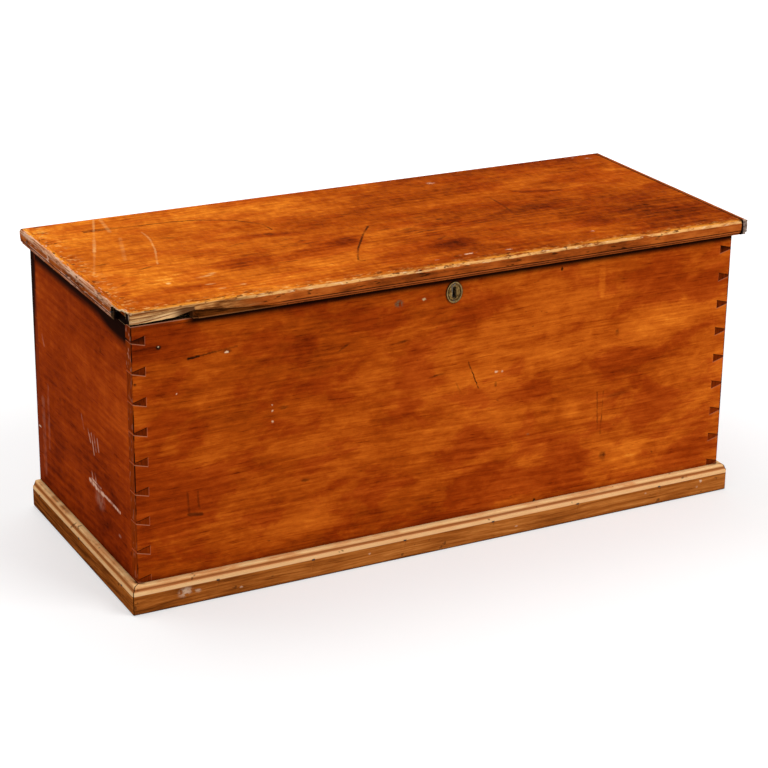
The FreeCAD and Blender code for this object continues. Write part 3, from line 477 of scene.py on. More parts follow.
def above_pin(s):
    """Height above the middle of the nearest dovetail pin."""
    pitch = (CASE_HIGH.z - CASE_LOW.z - 2*FIRST_PIN)/(PIN_COUNT - 1)
    climb = s.times(s.add(s.z, pitch/2 - CASE_LOW.z - FIRST_PIN), 1/pitch)
    return s.times(s.add(s.math("FRACT", climb), -0.5), pitch)


def pinned_heights(s):
    """1 over the height of each pin's wide end."""
    return s.under(s.size(above_pin(s)), PIN_WIDE/2)


def joint_lines(s):
    """Masks of the dovetails' joint lines on the outside of the case: under each pin, and over it."""
    rise = above_pin(s)
    reach = s.less(CASE_HIGH.x, s.size(s.x))
    half = s.add(PIN_NARROW/2, s.times(reach, (PIN_WIDE - PIN_NARROW)/2/BOARD))
    near = s.under(reach, BOARD + 0.4*MM)
    pinned = s.times(near, s.over(s.z, CASE_LOW.z + FIRST_PIN/2), s.under(s.z, CASE_HIGH.z - FIRST_PIN/2))
    return [s.times(pinned, s.fade(s.size(s.less(s.times(rise, side), half)), 0.3*MM, 1.1*MM))
            for side in (-1.0, 1.0)]


def level_lines(s, base, rises, core, rim):
    """Level lines at some heights in millimetres over a base: the beads of a moulding, or the hollows between."""
    return s.most(*(s.line(s.z, base + up*MM, core*MM, rim*MM) for up in rises))


def wood_bump(s, where):
    """Height of the open grain, with small dents."""
    fibres = s.noise((12, 500, 500), 3.0, 0.6, where)
    dents = s.step(s.noise(70, 2, 0.5), 0.25, 0.4, 0.0, 0.5)
    return s.add(s.times(fibres, 0.35), dents, s.noise((3, 40, 40), 2.0, 0.5, where))


def specks(s, scale, low, high):
    """Scattered small chips and dust."""
    return s.spots(scale, low, high, 2.0, 0.55)


def bare_colour(s, along, seed=0.0):
    """Unfinished pine, browned with age."""
    where = along_grain(s, along, seed)
    return s.ramp(s.add(0.5, grain(s, where, 0.3, 0.5, 0.35)), BARE)


def lid_wood():
    """The lid: bright worn shellac, darker towards the right, with scars; a rubbed nose and a torn corner."""
    s = Shader("lid_shellac")
    where = along_grain(s, "x", 0.3)
    page = s.page(s.x, s.y)
    level = s.add(s.step(s.x, -0.50, 0.14, 0.76, 0.43), s.step(s.y, -0.24, 0.16, -0.07, 0.04),
                  s.times(s.step(s.x, -0.1, 0.3), s.step(s.y, 0.0, 0.2), -0.08))
    scars = s.marks(page, LID_SCARS)
    golden = s.marks(page, LID_GLOW)
    tone = s.add(level, grain(s, where, 0.42, 0.34, 0.66, 2.4), s.times(scars, -0.34), s.times(golden, 0.12))
    s.colour = shellacked(s, tone, (1.03, 1.22, 1.3))
    clouded(s, where, scars, golden, (0.86, 0.7, 0.7))
    torn_up = s.spots((9, 20, 20), 0.36, 0.6)
    dark_lines = s.marks(page, LID_CRACKS)
    strokes = specks(s, (24, 190, 190), 0.58, 0.7)
    zone = s.add(0.3, s.marks(page, [(0.7, -190, -60, 200, 90, 10), (0.6, 120, -40, 260, 90)]))
    s.coat(s.most(s.times(dark_lines, s.add(0.45, torn_up)), s.times(strokes, zone, 0.8)), UMBER)
    broken = s.spots(24, 0.4, 0.6)
    s.coat(s.marks(page, LID_SCRATCHES), s.add(0.4, s.times(broken, 0.6)), (0.95, 0.55, 0.2))
    s.coat(s.marks(page, LID_FLECKS), s.spots(150, 0.44, 0.56), (0.8, 0.5, 0.32))
    front_reach = s.add(s.y, -LID_LOW.y)
    rim = s.least(s.step(front_reach, 3*MM, 34*MM), s.step(s.x, LID_LOW.x, LID_LOW.x + 40*MM))
    left_part = s.step(s.x, -0.25, 0.0, 1.0, 0.45)
    where_bright = s.most(s.step(s.x, -0.42, -0.3, 1.0, 0.35), s.step(s.x, -0.12, 0.0, 0.0, 0.8))
    s.coat(s.step(front_reach, 15*MM, 2*MM), where_bright, s.spots((20, 90, 90), 0.34, 0.56, 4.0, 0.65),
           (0.82, 0.31, 0.035))
    rubbed = s.times(specks(s, (90, 230, 230), 0.54, 0.68), s.step(rim, 1.0, 0.0), left_part, 0.7)
    s.coat(rubbed, (0.86, 0.42, 0.12))
    s.coat(specks(s, (70, 170, 170), 0.56, 0.68), s.step(rim, 1.0, 0.1), 0.8, UMBER)

    # the nose with its beads
    drop = s.less(LID_HIGH.z, s.z)
    nose = s.ramp(s.add(s.step(s.x, 0.34, 0.46, 0.45, 0.58), grain(s, where, 0.5, 0.5, 0.5)), NOSE)
    nose = s.mix(s.times(specks(s, (40, 150, 150), 0.62, 0.7), 0.7), nose, SHADE_AND_SOOT)
    # painted highlights along the beads' crests, and painted shade in the seams between them
    crest_highlights = level_lines(s, LID_LOW.z, (2.2, 6.2), 0.3, 1.2)
    seam_shade = level_lines(s, LID_LOW.z, (0.2, 4.0, 8.0), 0.3, 1.1)
    beaded = s.over(s.x, WORN_END - 10*MM, 12*MM)
    nose = s.mix(s.times(crest_highlights, beaded, s.noise((8, 40, 40), 3.0, 0.6)), nose, (0.36, 0.085, 0.024))
    nose = s.mix(s.times(seam_shade, beaded, 0.92), nose, SHADE_AND_SOOT)
    # a rubbed, paler line along the rounded arris, brightened as a painted highlight; sparkle lays specks of painted
    # highlight on it
    edge_wave = s.add(drop, s.swing(3*MM, (30, 30, 30), 4.0, 0.65))
    rubbed_highlight_line = s.times(s.step(edge_wave, 0.4*MM, 1.8*MM), s.fade(edge_wave, 4.6*MM, 6.4*MM))
    patchy = s.spots((24, 70, 70), 0.36, 0.52, 4.0, 0.65)
    nose = s.mix(s.times(rubbed_highlight_line, patchy, 0.9), nose, (0.9, 0.46, 0.15))
    sparkle = s.times(rubbed_highlight_line, specks(s, (60, 90, 200), 0.56, 0.68))
    nose = s.mix(s.times(sparkle, 0.75), nose, (0.93, 0.62, 0.33))
    chipped = s.times(s.under(drop, 5*MM, MM), specks(s, (70, 120, 120), 0.6, 0.68))
    nose = s.mix(s.times(chipped, 0.85), nose, UMBER)
    shoulder = s.times(s.under(front_reach, 9*MM, 3*MM), s.step(drop, 0.05*MM, 2.2*MM))
    s.coat(s.most(shoulder, s.under(front_reach, 1.6*MM, MM)), nose)

    # the face that split off, ribbed by its fibres
    from_split = s.under(s.x, SPLIT_END, 2*MM)
    fan = s.step(s.x, LID_LOW.x, SPLIT_END, 20.0, 11.0)
    spread = s.math("DIVIDE", s.times(drop, 1000.0), fan)
    fibres = s.noise(1.0, 5.0, 0.7, s.axes(s.times(s.x, 14.0), s.times(spread, 5.5), s.times(s.y, 40.0)))
    wavy = s.add(spread, s.swing(0.2, (16, 40, 40), 2.0, 0.5), s.times(s.add(fibres, -0.5), 0.35))
    torn = s.ramp(wavy, [(0.0, (0.95, 0.66, 0.34)), (0.13, (0.85, 0.5, 0.2)), (0.2, (0.2, 0.06, 0.016)),
                         (0.28, (0.24, 0.075, 0.02)), (0.36, (0.62, 0.3, 0.1)), (0.48, (0.76, 0.42, 0.17)),
                         (0.55, (0.22, 0.07, 0.02)), (0.64, (0.7, 0.38, 0.14)), (0.8, (0.86, 0.55, 0.27)),
                         (0.9, (0.4, 0.16, 0.05)), (1.0, (0.84, 0.5, 0.22))])
    torn = s.mix(s.step(fibres, 0.36, 0.5, 0.85, 0.0), torn, (0.16, 0.05, 0.014))
    shaded = s.times(s.step(spread, 0.2, 0.55), s.step(s.x, SPLIT_END - 44*MM, SPLIT_END - 18*MM))
    torn = s.mix(s.times(shaded, 0.92), torn, (0.09, 0.024, 0.006))
    # the worn stretch beside it
    ridge = s.ramp(s.add(0.36, s.swing(1.5, (18, 240, 240), 4.0, 0.7), s.swing(1.5, (14, 40, 90), 4.0, 0.6)), RAW)
    lower = s.ramp(s.add(0.16, s.step(s.x, SPLIT_END, WORN_END, 0.08, -0.12), grain(s, where, 0.6, 0.7, 0.4)), STAIN)
    ridge = s.mix(s.step(s.x, SPLIT_END + 45*MM, SPLIT_END + 120*MM), ridge, nose)
    fall = s.times(s.add(s.x, -SPLIT_END), -12.5*MM/(WORN_END - SPLIT_END))
    crack = s.add(LID_LOW.z + 15.5*MM, fall, s.swing(0.003, (40, 1, 1), 3.0, 0.6))
    gap = s.less(s.z, crack)
    worn = s.mix(s.step(gap, -0.6*MM, 0.6*MM), lower, ridge)
    worn = s.mix(s.line(gap, -0.8*MM, 0.4*MM, 1.6*MM), worn, SHADE_AND_SOOT)
    lip = s.line(s.z, LID_LOW.z + 1.0*MM, 0.4*MM, 1.4*MM, 0.5)
    worn = s.mix(lip, worn, (0.3, 0.12, 0.04))
    fading = s.under(s.x, WORN_END - 25*MM, 45*MM)
    worn = s.mix(fading, nose, worn)
    broken_edge = s.mix(from_split, worn, torn)
    s.coat(s.under(s.x, WORN_END + 8*MM, 12*MM), s.step(drop, 1.2*MM, 3.2*MM),
           s.under(front_reach, SPLIT_DEPTH + 2*MM, MM), broken_edge)
    # painted shade, with some old glue on the end: black in the hollow under the split and on the exposed left end
    inside = s.times(from_split, s.over(drop, 13*MM, MM), s.over(front_reach, 11*MM, 2*MM))
    side_on = s.fade(s.split(s.facing)[0], -0.85, -0.6)
    end_face = s.times(s.under(s.x, LID_LOW.x + 0.3*MM), side_on)
    s.coat(s.most(inside, end_face), SHADE_AND_SOOT)
    pale_post = s.times(s.under(s.x, LID_LOW.x - 2.4*MM, 0.4*MM), s.under(front_reach, 4.5*MM, MM),
                        s.under(drop, 12*MM, 4*MM))
    s.coat(pale_post, 0.8, (0.5, 0.33, 0.22))
    open_rim = s.times(s.under(s.x, LID_LOW.x + 4*MM, 2*MM), s.under(s.y, SIDE_LOW.y + 4*MM),
                       s.under(drop, 3.5*MM, 1.5*MM))
    s.coat(open_rim, s.spots(260, 0.4, 0.55), (0.9, 0.6, 0.32))

    s.coat(s.under(s.z, LID_LOW.z + 2*SKIN), s.over(s.y, CASE_LOW.y), bare_colour(s, "x", 0.6))
    # painted shade in corners, joints and under lips
    s.coat(s.crevices(0.006, 1.2), SHADE_AND_SOOT)
    return s.finish(s.sheen(0.42, (4, 20, 20)), wood_bump(s, where), 0.0005)


def case_wood():
    """The front and back boards: orange and red clouds on straight grain, bare inside, dark end grain."""
    s = Shader("case_shellac")
    where = along_grain(s, "x")
    unmarked = s.axes(s.times(s.over(s.y, 0.0), 5000.0), 0.0, 0.0)
    page = s.vector("ADD", s.page(s.x, s.z), unmarked).outputs[0]
    level = s.add(s.step(s.x, -0.54, 0.20, 0.43, 0.56), s.step(s.z, 0.05, 0.2, -0.02, 0.0),
                  s.step(s.z, 0.3, 0.44, 0.0, -0.03))
    clouds = s.marks(page, CASE_CLOUDS)
    glow = s.marks(page, CASE_GLOW)
    tone = s.add(level, grain(s, where, 0.56, 0.22, 0.54), s.times(clouds, -0.16), s.times(glow, 0.18))
    s.colour = shellacked(s, tone, (1.06, 1.14, 1.3))
    clouded(s, where, clouds, glow, (0.8, 0.62, 0.7))
    uneven = s.spots((30, 30, 60), 0.36, 0.58)
    dark = s.marks(page, CASE_CRACKS)
    s.coat(dark, s.add(0.35, uneven), INK)
    s.coat(s.marks(page, CASE_CHIPS), (0.9, 0.6, 0.36))
    s.coat(s.marks(page, [(0.9, -49, 445, 5, 3)]), (0.6, 0.42, 0.2))
    s.coat(s.marks(page, [(0.85, -94, 444, 11, 8), (0.5, 155, 175, 4, 3)]), s.spots(160, 0.36, 0.54),
           (0.17, 0.1, 0.05))
    s.coat(specks(s, (60, 150, 150), 0.72, 0.8), 0.6, UMBER)
    end_grain = outermost(s, s.x, CASE_LOW.x, CASE_HIGH.x)
    streaks = s.ramp(s.add(0.3, s.swing(0.8, (300, 300, 30), 3.0, 0.6)), SHELLAC)
    rubbed = s.times(specks(s, (120, 120, 50), 0.56, 0.66), s.step(s.z, 0.36, 0.46, 0.25, 0.8))
    rubbed_grain = s.mix(rubbed, streaks, (0.5, 0.2, 0.12))
    s.coat(end_grain, s.mix(s.over(s.y, 0.0), rubbed_grain, (0.26, 0.03, 0.004)))
    s.coat(end_grain, back_corner(s), CORNER_DARK)
    outside = s.most(outermost(s, s.y, CASE_LOW.y, CASE_BACK), end_grain)
    from_end = s.less(CASE_HIGH.x, s.size(s.x))
    s.coat(s.fade(s.most(from_end, s.add(s.y, -CASE_LOW.y)), 0.6*MM, 2.2*MM),
           s.step(s.noise((5, 5, 26), 3.0, 0.6), 0.44, 0.54, 0.25, 1.0), SHADE_AND_SOOT)
    pale_line, dark_line = joint_lines(s)
    inmost = s.times(s.line(from_end, BOARD + 0.5*MM, 0.2*MM, 0.9*MM, 0.6), pinned_heights(s))
    s.coat(s.most(pale_line, s.times(inmost, 0.6)), s.step(s.x, -0.1, 0.1, 0.6, 0.2), s.under(s.y, 0.0),
           (0.58, 0.24, 0.13))
    s.coat(dark_line, 0.75, SHADE_AND_SOOT)
    # painted shadow: the top of the case goes black under the lid's overhanging lip, but not left of the split, where
    # the lip is broken away
    under_lid_lip = s.most(s.over(s.x, SPLIT_END - 4*MM, 10*MM), s.over(s.y, 0.0))
    s.coat(s.step(s.z, CASE_HIGH.z - 15*MM, CASE_HIGH.z - 5*MM, 0.0, 0.97), under_lid_lip, SHADE_AND_SOOT)
    # painted highlight along the case's top arris where the lid's lip is broken away
    lit_arris = s.times(s.step(s.z, CASE_HIGH.z - 2.2*MM, CASE_HIGH.z - 0.8*MM), s.spots((30, 30, 60), 0.36, 0.56))
    s.coat(lit_arris, s.less(1.0, under_lid_lip), 0.8, (0.62, 0.26, 0.14))
    lock_low, lock_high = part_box("escutcheon")
    at_lock = s.times(s.over(s.x, lock_low.x), s.under(s.x, lock_high.x), s.over(s.z, lock_low.z),
                      s.under(s.z, lock_high.z))
    # painted shade: the keyhole's walls in the front board go black
    side_on = s.fade(s.size(s.split(s.facing)[1]), 0.4, 0.7)
    s.coat(at_lock, side_on, SHADE_AND_SOOT)
    s.colour = s.mix(outside, bare_colour(s, "x", 0.9), s.colour)
    # painted shade in corners and joints, and under the lid's lip
    s.coat(s.crevices(0.02, 1.2), SHADE_AND_SOOT)
    return s.finish(s.sheen(0.4, (4, 20, 20)), wood_bump(s, where), 0.0004)


def end_wood():
    """The end boards: deep red-brown shellac with chalky scratches, bare inside, dark end grain on the pins."""
    s = Shader("end_shellac")
    where = along_grain(s, "y", 0.4)
    page = s.page(s.y, s.z)
    level = s.add(s.step(s.z, 0.06, 0.34, 0.31, 0.47), s.step(s.z, 0.36, 0.46, 0.0, -0.05))
    level = s.add(level, s.times(s.step(s.y, 0.0, 0.2), s.step(s.z, 0.28, 0.1), -0.07),
                  s.swing(0.14, (70, 70, 7), 4.0, 0.6))
    tone = s.add(level, grain(s, where, 0.32, 0.1, 0.5))
    s.colour = shellacked(s, tone, (1.0, 0.82, 1.0))
    left = s.under(s.x, 0.0)
    broken = s.spots((90, 90, 60), 0.4, 0.6)
    s.coat(s.marks(page, END_CHALK), left, s.add(0.3, broken), (0.78, 0.46, 0.32))
    s.coat(s.marks(page, END_SPOTS), left, INK)
    pins = outermost(s, s.y, CASE_LOW.y, CASE_BACK)
    streaks = s.ramp(s.add(s.step(s.z, 0.1, 0.34, 0.22, 0.1), s.swing(0.45, (260, 260, 60), 3.0, 0.6)), SHELLAC)
    s.coat(back_corner(s), CORNER_DARK)
    s.coat(s.patch(page, 222, 150, 9, 6, -20), left, (0.8, 0.55, 0.4))
    s.coat(pins, streaks)
    outside = s.most(outermost(s, s.x, CASE_LOW.x, CASE_HIGH.x), pins)
    pale_line, dark_line = joint_lines(s)
    s.coat(pale_line, pins, 0.5, (0.5, 0.2, 0.11))
    s.coat(dark_line, pins, 0.8, SHADE_AND_SOOT)
    under_gap = s.times(s.step(s.y, -0.07, -0.17), s.step(s.y, -0.214, -0.196), left, 15*MM)
    lip_shade = s.step(s.add(s.z, under_gap), CASE_HIGH.z - 36*MM, CASE_HIGH.z - 15*MM, 0.0, 0.97)
    lip_shade = s.times(lip_shade, s.step(s.z, CASE_HIGH.z - 56*MM, CASE_HIGH.z - 26*MM))
    s.coat(lip_shade, SHADE_AND_SOOT)
    s.colour = s.mix(outside, bare_colour(s, "y", 0.2), s.colour)
    # painted shade in corners and joints, and under the lid's lip
    s.coat(s.crevices(0.024, 1.0), SHADE_AND_SOOT)
    return s.finish(s.sheen(0.4, (20, 4, 20)), wood_bump(s, where), 0.0004)


def moulding_wood():
    """The lid's end mouldings: rubbed brown on the left, dark on the right, raw where the left one broke."""
    s = Shader("moulding_stain")
    where = along_grain(s, "y", 0.15)
    drop = s.less(SIDE_HIGH.z, s.z)
    tone = s.add(0.47, grain(s, where, 0.7, 0.8, 0.5))
    s.colour = s.ramp(tone, NOSE)
    top = s.under(drop, 0.9*MM, 0.6*MM)
    rubbed = s.times(s.under(drop, 7*MM, 3*MM), s.spots((320, 16, 320), 0.36, 0.5, 5.0, 0.7))
    bands = s.spots((400, 12, 400), 0.38, 0.6, 4.0, 0.65)
    s.coat(rubbed, 0.85, s.mix(bands, (0.5, 0.19, 0.08), (0.9, 0.56, 0.36)))
    ragged = s.add(s.x, s.swing(0.012, (120, 50, 120), 4.0, 0.7))
    s.coat(top, s.most(s.step(ragged, -SIDE_REACH + 3.5*MM, -SIDE_REACH + 6*MM),
                       s.under(s.y, BREAK_BACK + 6*MM, 6*MM)), shellacked(s, s.add(0.3, tone), (1.0, 1.2, 1.3)))
    # painted highlights along the beads' crests
    s.coat(level_lines(s, SIDE_LOW.z, (2.8, 7.0, 11.0), 0.4, 1.5), s.spots((40, 14, 40), 0.36, 0.56), 0.8,
           (0.66, 0.34, 0.22))
    s.coat(specks(s, (240, 70, 240), 0.6, 0.7), 0.7, (0.76, 0.5, 0.36))
    s.coat(specks(s, (220, 50, 220), 0.6, 0.7), 0.8, (0.05, 0.016, 0.006))
    # painted shade in the seams between the beads
    s.coat(level_lines(s, SIDE_LOW.z, (0.2, 4.5, 9.0), 0.4, 1.3), SHADE_AND_SOOT)
    right = s.over(s.x, 0.0)
    dark = s.ramp(s.add(tone, -0.1), NOSE)
    # painted shade along the outer edge of the right moulding
    dark = s.mix(s.step(s.x, SIDE_REACH - 2.5*MM, SIDE_REACH - 1.2*MM, 0.0, 0.6), dark, SHADE_AND_SOOT)
    lit_edge = s.times(s.under(drop, 2*MM, MM), s.step(s.x, SIDE_REACH - 7*MM, SIDE_REACH - 4*MM),
                       s.under(s.x, SIDE_REACH - 2*MM, MM), s.spots((90, 30, 90), 0.38, 0.54))
    dark = s.mix(s.times(lit_edge, 0.7), dark, (0.42, 0.2, 0.13))
    front_end = s.under(s.y, LID_LOW.y + 4*MM, MM)
    weathered_end_and_highlight = s.ramp(s.add(0.45, s.swing(1.7, 300.0, 3.0, 0.6)),
                       [(0.0, (0.03, 0.018, 0.014)), (1.0, (0.5, 0.36, 0.29))])
    # painted highlight along the top of the front end block
    weathered_end_and_highlight = s.mix(s.times(s.under(drop, 2.2*MM, MM), 0.7), weathered_end_and_highlight, (0.6, 0.4, 0.28))
    dark = s.mix(front_end, dark, weathered_end_and_highlight)
    dark = s.mix(s.under(s.x, LID_HIGH.x + 2.8*MM, 0.8*MM), dark, SHADE_AND_SOOT)
    dark = s.mix(s.times(front_end, s.under(s.x, LID_HIGH.x + 3.4*MM, 0.8*MM)), dark, SHADE_AND_SOOT)
    s.coat(right, dark)
    left = s.under(s.x, 0.0)
    cream = s.mix(s.spots(300, 0.4, 0.6), (0.5, 0.22, 0.08), (0.95, 0.68, 0.4))
    # painted shade: the broken end goes black, with a tan strip at its outer edge
    broken_end = s.times(s.step(s.y, TORN_BACK, BREAK_BACK + 6*MM), s.step(drop, 3.5*MM, 4.5*MM), left)
    pit = s.mix(s.under(s.x, -SIDE_REACH + 4.5*MM, 1.5*MM), SHADE_AND_SOOT, (0.42, 0.22, 0.1))
    facing = s.split(s.facing)
    torn_face = s.step(s.size(facing[1]), 0.4, 0.8)
    s.coat(broken_end, s.most(torn_face, s.over(s.x, -SIDE_REACH + 1.5*MM, MM)), pit)
    s.coat(s.under(s.y, BREAK_BACK - MM, 3*MM), s.under(drop, 4.4*MM), left, s.fade(facing[2], 0.5, 0.8), cream)
    # painted shade under the broken flake
    s.coat(s.under(s.y, BREAK_BACK - MM, 3*MM), left, s.fade(facing[2], -0.8, -0.4), SHADE_AND_SOOT)
    torn_line = [(-568.5, -196), (-568.5, -205.5), (-566, -220.5), (-562, -221), (-559.4, -237.5)]
    s.coat(s.stroke(s.page(s.x, s.y), torn_line, 2.4), top, s.spots(200, 0.36, 0.5), (0.92, 0.62, 0.32))
    s.coat(s.over(s.x, LID_LOW.x - 0.3*MM), s.under(s.x, LID_HIGH.x + 0.9*MM), s.step(s.x, -0.1, 0.1, 0.25, 0.95),
           SHADE_AND_SOOT)
    # painted shade in corners and joints
    s.coat(s.crevices(0.006, 1.3), SHADE_AND_SOOT)
    return s.finish(s.sheen(0.45, 40), wood_bump(s, where), 0.0007)


def plinth_wood(name, along, shade):
    """The plinth: yellow-brown fascia, a pinkish worn moulding above it with a painted highlight along its top, and
    painted shade in its cove. shade moves the whole tone, so that the side's copy is darker as painted shade.
    """
    s = Shader(name)
    where = along_grain(s, along, 0.35)
    page = s.page(s.x, s.z)
    fall = s.step(s.x, -0.52, -0.14, -0.1, 0.03) if along == "x" else s.step(s.y, -0.2, 0.2, 0.07, -0.06)
    tone = s.add(0.48 + shade, fall, grain(s, where, 1.1, 0.4, 0.22))
    fascia = s.ramp(tone, STAIN)
    crown = s.ramp(s.add(tone, 0.08), [(0.0, (0.05, 0.014, 0.003)), (0.5, (0.76, 0.31, 0.1)),
                                       (1.0, (1.0, 0.66, 0.32))])
    s.colour = s.mix(s.over(s.z, PLINTH_HIGH.z - 9.4*MM, 0.5*MM), fascia, crown)
    # painted highlight along the crown's top edge
    ridge = s.times(s.over(s.z, PLINTH_HIGH.z - 2.6*MM, 1.2*MM), s.spots((18, 18, 60), 0.35, 0.6))
    s.coat(ridge, 0.8, (1.0, 0.66, 0.31))
    shoulder = s.line(s.z, PLINTH_HIGH.z - 11.7*MM, 2.4*MM, 3.6*MM, 0.92)
    worn_pale = s.mix(s.noise((20, 20, 200), 4.0, 0.65), (0.88, 0.42, 0.15), (1.0, 0.7, 0.36))
    s.coat(shoulder, worn_pale)
    # painted shade in the cove under the bead
    s.coat(s.line(s.z, PLINTH_HIGH.z - 5.8*MM, 1.2*MM, 3.2*MM, 0.9), (0.4, 0.12, 0.03))
    s.coat(s.line(s.z, PLINTH_HIGH.z - 5.4*MM, 0.3*MM, 1.1*MM, 0.35), (0.1, 0.025, 0.005))
    front = s.under(s.y, PLINTH_LOW.y + 3*MM)
    s.coat(s.marks(page, PLINTH_CHIPS), front, s.spots(120, 0.36, 0.56), (0.8, 0.6, 0.42))
    across = s.add(s.size(s.x), s.y, -PLINTH_HIGH.x - PLINTH_LOW.y)
    s.coat(s.fade(s.size(across), 0.4*MM, 1.6*MM), SHADE_AND_SOOT)
    s.coat(specks(s, 60.0, 0.68, 0.74), 0.7, (0.1, 0.03, 0.008))
    s.coat(s.step(s.z, 0.5*MM, 5*MM, 0.75, 0.0), (0.08, 0.02, 0.004))
    s.coat(s.over(s.y, CASE_BACK - 0.3*MM), bare_colour(s, along, 0.5))
    # painted shade in corners and joints
    s.coat(s.crevices(0.006, 1.3), SHADE_AND_SOOT)
    return s.finish(s.sheen(0.5, 40), wood_bump(s, where), 0.0004)


def bare_wood():
    """The bottom boards, never finished."""
    s = Shader("bare_pine")
    where = along_grain(s, "x", 0.1)
    # painted shade in the corners of the bare boards
    s.colour = s.mix(s.crevices(0.01, 1.3), bare_colour(s, "x", 0.1), (0.05, 0.025, 0.01))
    return s.finish(s.sheen(0.62, 40), wood_bump(s, where), 0.0006)


# ---- metal

def aged_metal(name, dark, mid, light, dirt, rough):
    """Old metal: mottled tarnish, fine scratches and dirt in the corners."""
    s = Shader(name)
    tone = s.add(0.5, s.swing(1.0, 90.0, 5.0, 0.6), s.swing(0.7, 420.0, 3.0, 0.6))
    s.colour = s.ramp(tone, [(0.15, dark), (0.5, mid), (0.85, light)])
    s.coat(s.crevices(0.0016, 0.6), dirt)
    s.coat(specks(s, 300.0, 0.6, 0.7), 0.6, dirt)
    height = s.add(s.noise(260, 4, 0.6), s.times(s.noise((30, 30, 900), 2.0), 0.4))
    return s.finish(s.sheen(rough - 0.1, 150.0, 0.3), height, 0.0002, 0.5, 1.0)


def old_brass():
    """The escutcheon: dull brass with a bright rim, a dark turned line inside it and dirt round the pins; its keyhole
    has a painted lit wall and painted shade inside.
    """
    low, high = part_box("escutcheon")
    s = Shader("old_brass")
    tone = s.add(0.5, s.swing(1.3, 160.0, 5.0, 0.6), s.swing(0.9, 520.0, 3.0, 0.6))
    s.colour = s.ramp(tone, [(0.1, (0.03, 0.014, 0.004)), (0.5, (0.17, 0.095, 0.028)), (0.9, (0.45, 0.3, 0.11))])
    oval = s.new("Mapping", Vector=s.axes(s.x, s.z, 0.0), Location=((low.x + high.x)/2, (low.z + high.z)/2, 0),
                 Scale=((high.x - low.x)/2, (high.z - low.z)/2, 1))
    oval.vector_type = "TEXTURE"
    ring = s.length(oval.outputs[0])
    patchy = s.step(s.noise(240, 3, 0.6), 0.35, 0.6, 0.4, 1.0)
    bright = s.line(ring, 0.9, 0.02, 0.08)
    s.coat(bright, patchy, 0.7, (0.42, 0.28, 0.12))
    dark = s.line(ring, 0.76, 0.02, 0.08)
    s.coat(dark, patchy, (0.03, 0.013, 0.003))
    s.coat(s.step(ring, 0.96, 1.0), (0.02, 0.008, 0.002))
    s.coat(s.crevices(0.0016, 0.6), (0.012, 0.005, 0.002))
    x, z = (low.x + high.x)/2/MM, (low.z + high.z)/2/MM
    # painted highlight: the lit left wall of the keyhole, drawn on the face, with the grey pin heads
    lit_wall_and_pins = s.marks(s.page(s.x, s.z), [(0.8, [(x - 4.2, z + 14), (x - 3.9, z - 5)], 1.8), (0.8, x, z + 14, 3, 4.5),
                                      (0.6, x - 0.5, z - 13.5, 2.6, 3.5)])
    s.coat(lit_wall_and_pins, (0.11, 0.095, 0.08))
    # painted shade: the keyhole's walls go black
    facing = s.split(s.facing)
    side_on = s.fade(s.size(facing[1]), 0.4, 0.7)
    s.coat(side_on, s.under(ring, 0.62), (0.006, 0.003, 0.002))
    height = s.add(s.noise(260, 4, 0.6), s.times(bright, 1.5), s.times(dark, -1.5))
    return s.finish(s.sheen(0.35, 150, 0.3), height, 0.0003, 0.5, 1.0)


# ---- worn pieces in place of the plain solids

def opened(name):
    """A node's mesh, welded and with its flat faces whole, open for work."""
    mesh = bmesh.new()
    mesh.from_mesh(nodes[name].data)
    bmesh.ops.remove_doubles(mesh, verts=mesh.verts, dist=WELD)
    bmesh.ops.dissolve_limit(mesh, angle_limit=0.01, verts=mesh.verts, edges=mesh.edges)
    return mesh


def slice_up(mesh, axis, low, high, pitch, keep=lambda face: True):
    """Divides the faces that keep picks by planes across an axis."""
    normal = Vector(1.0 if index == axis else 0.0 for index in range(3))
    for number in range(int((high - low)/pitch) + 1):
        faces = [face for face in mesh.faces if keep(face)]
        geometry = {*faces, *(edge for face in faces for edge in face.edges),
                    *(vert for face in faces for vert in face.verts)}
        bmesh.ops.bisect_plane(mesh, geom=list(geometry), plane_co=normal*(low + number*pitch), plane_no=normal,
                               dist=WELD)


def closed(name, mesh):
    """Turns worked geometry into a piece that stands for its node."""
    mesh.normal_update()
    data = bpy.data.meshes.new(f"{name}_worn")
    mesh.to_mesh(data)
    mesh.free()
    for face in data.polygons:
        face.use_smooth = True
    data.set_sharp_from_angle(angle=SHARP_ANGLE)
    piece = bpy.data.objects.new(f"{name}_worn", data)
    bpy.context.scene.collection.objects.link(piece)
    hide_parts(name)
    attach(piece, body_of(nodes[name])[0])
    return piece


def ripple(x, y=0.0, z=0.0):
    """Smooth noise from -1 to 1."""
    return noise.noise(Vector((x, y, z)))


def chips(x, z, size, bar):
    """Scattered bites from 0 to 1, where noise of that size passes the bar."""
    return max(0.0, ripple(x/size, z/size, 3.1) - bar)/(1 - bar)


def eased(value, low, high):
    """Rises smoothly from 0 at low to 1 at high."""
    share = min(1.0, max(0.0, (value - low)/(high - low)))
    return share*share*(3 - 2*share)


def rounded_corner(reach, radius):
    """How far a face falls back at a given reach from a rounded corner."""
    short = max(0.0, radius - reach)
    return radius - math.sqrt(radius**2 - short**2)


def split_drop(x):
    """How far under the top the split's lower edge lies, as the board is cut."""
    along = (x - LID_LOW.x)/MM
    return (19.5 - 2*along/70 if along < 70 else 17.5 - 7.5*(along - 70)/33)*MM


def hollow_rise(x):
    """How far over the underside the worn hollow reaches, as the board is cut."""
    return (15.5 - 12.5*(x - SPLIT_END)/(WORN_END - SPLIT_END))*MM


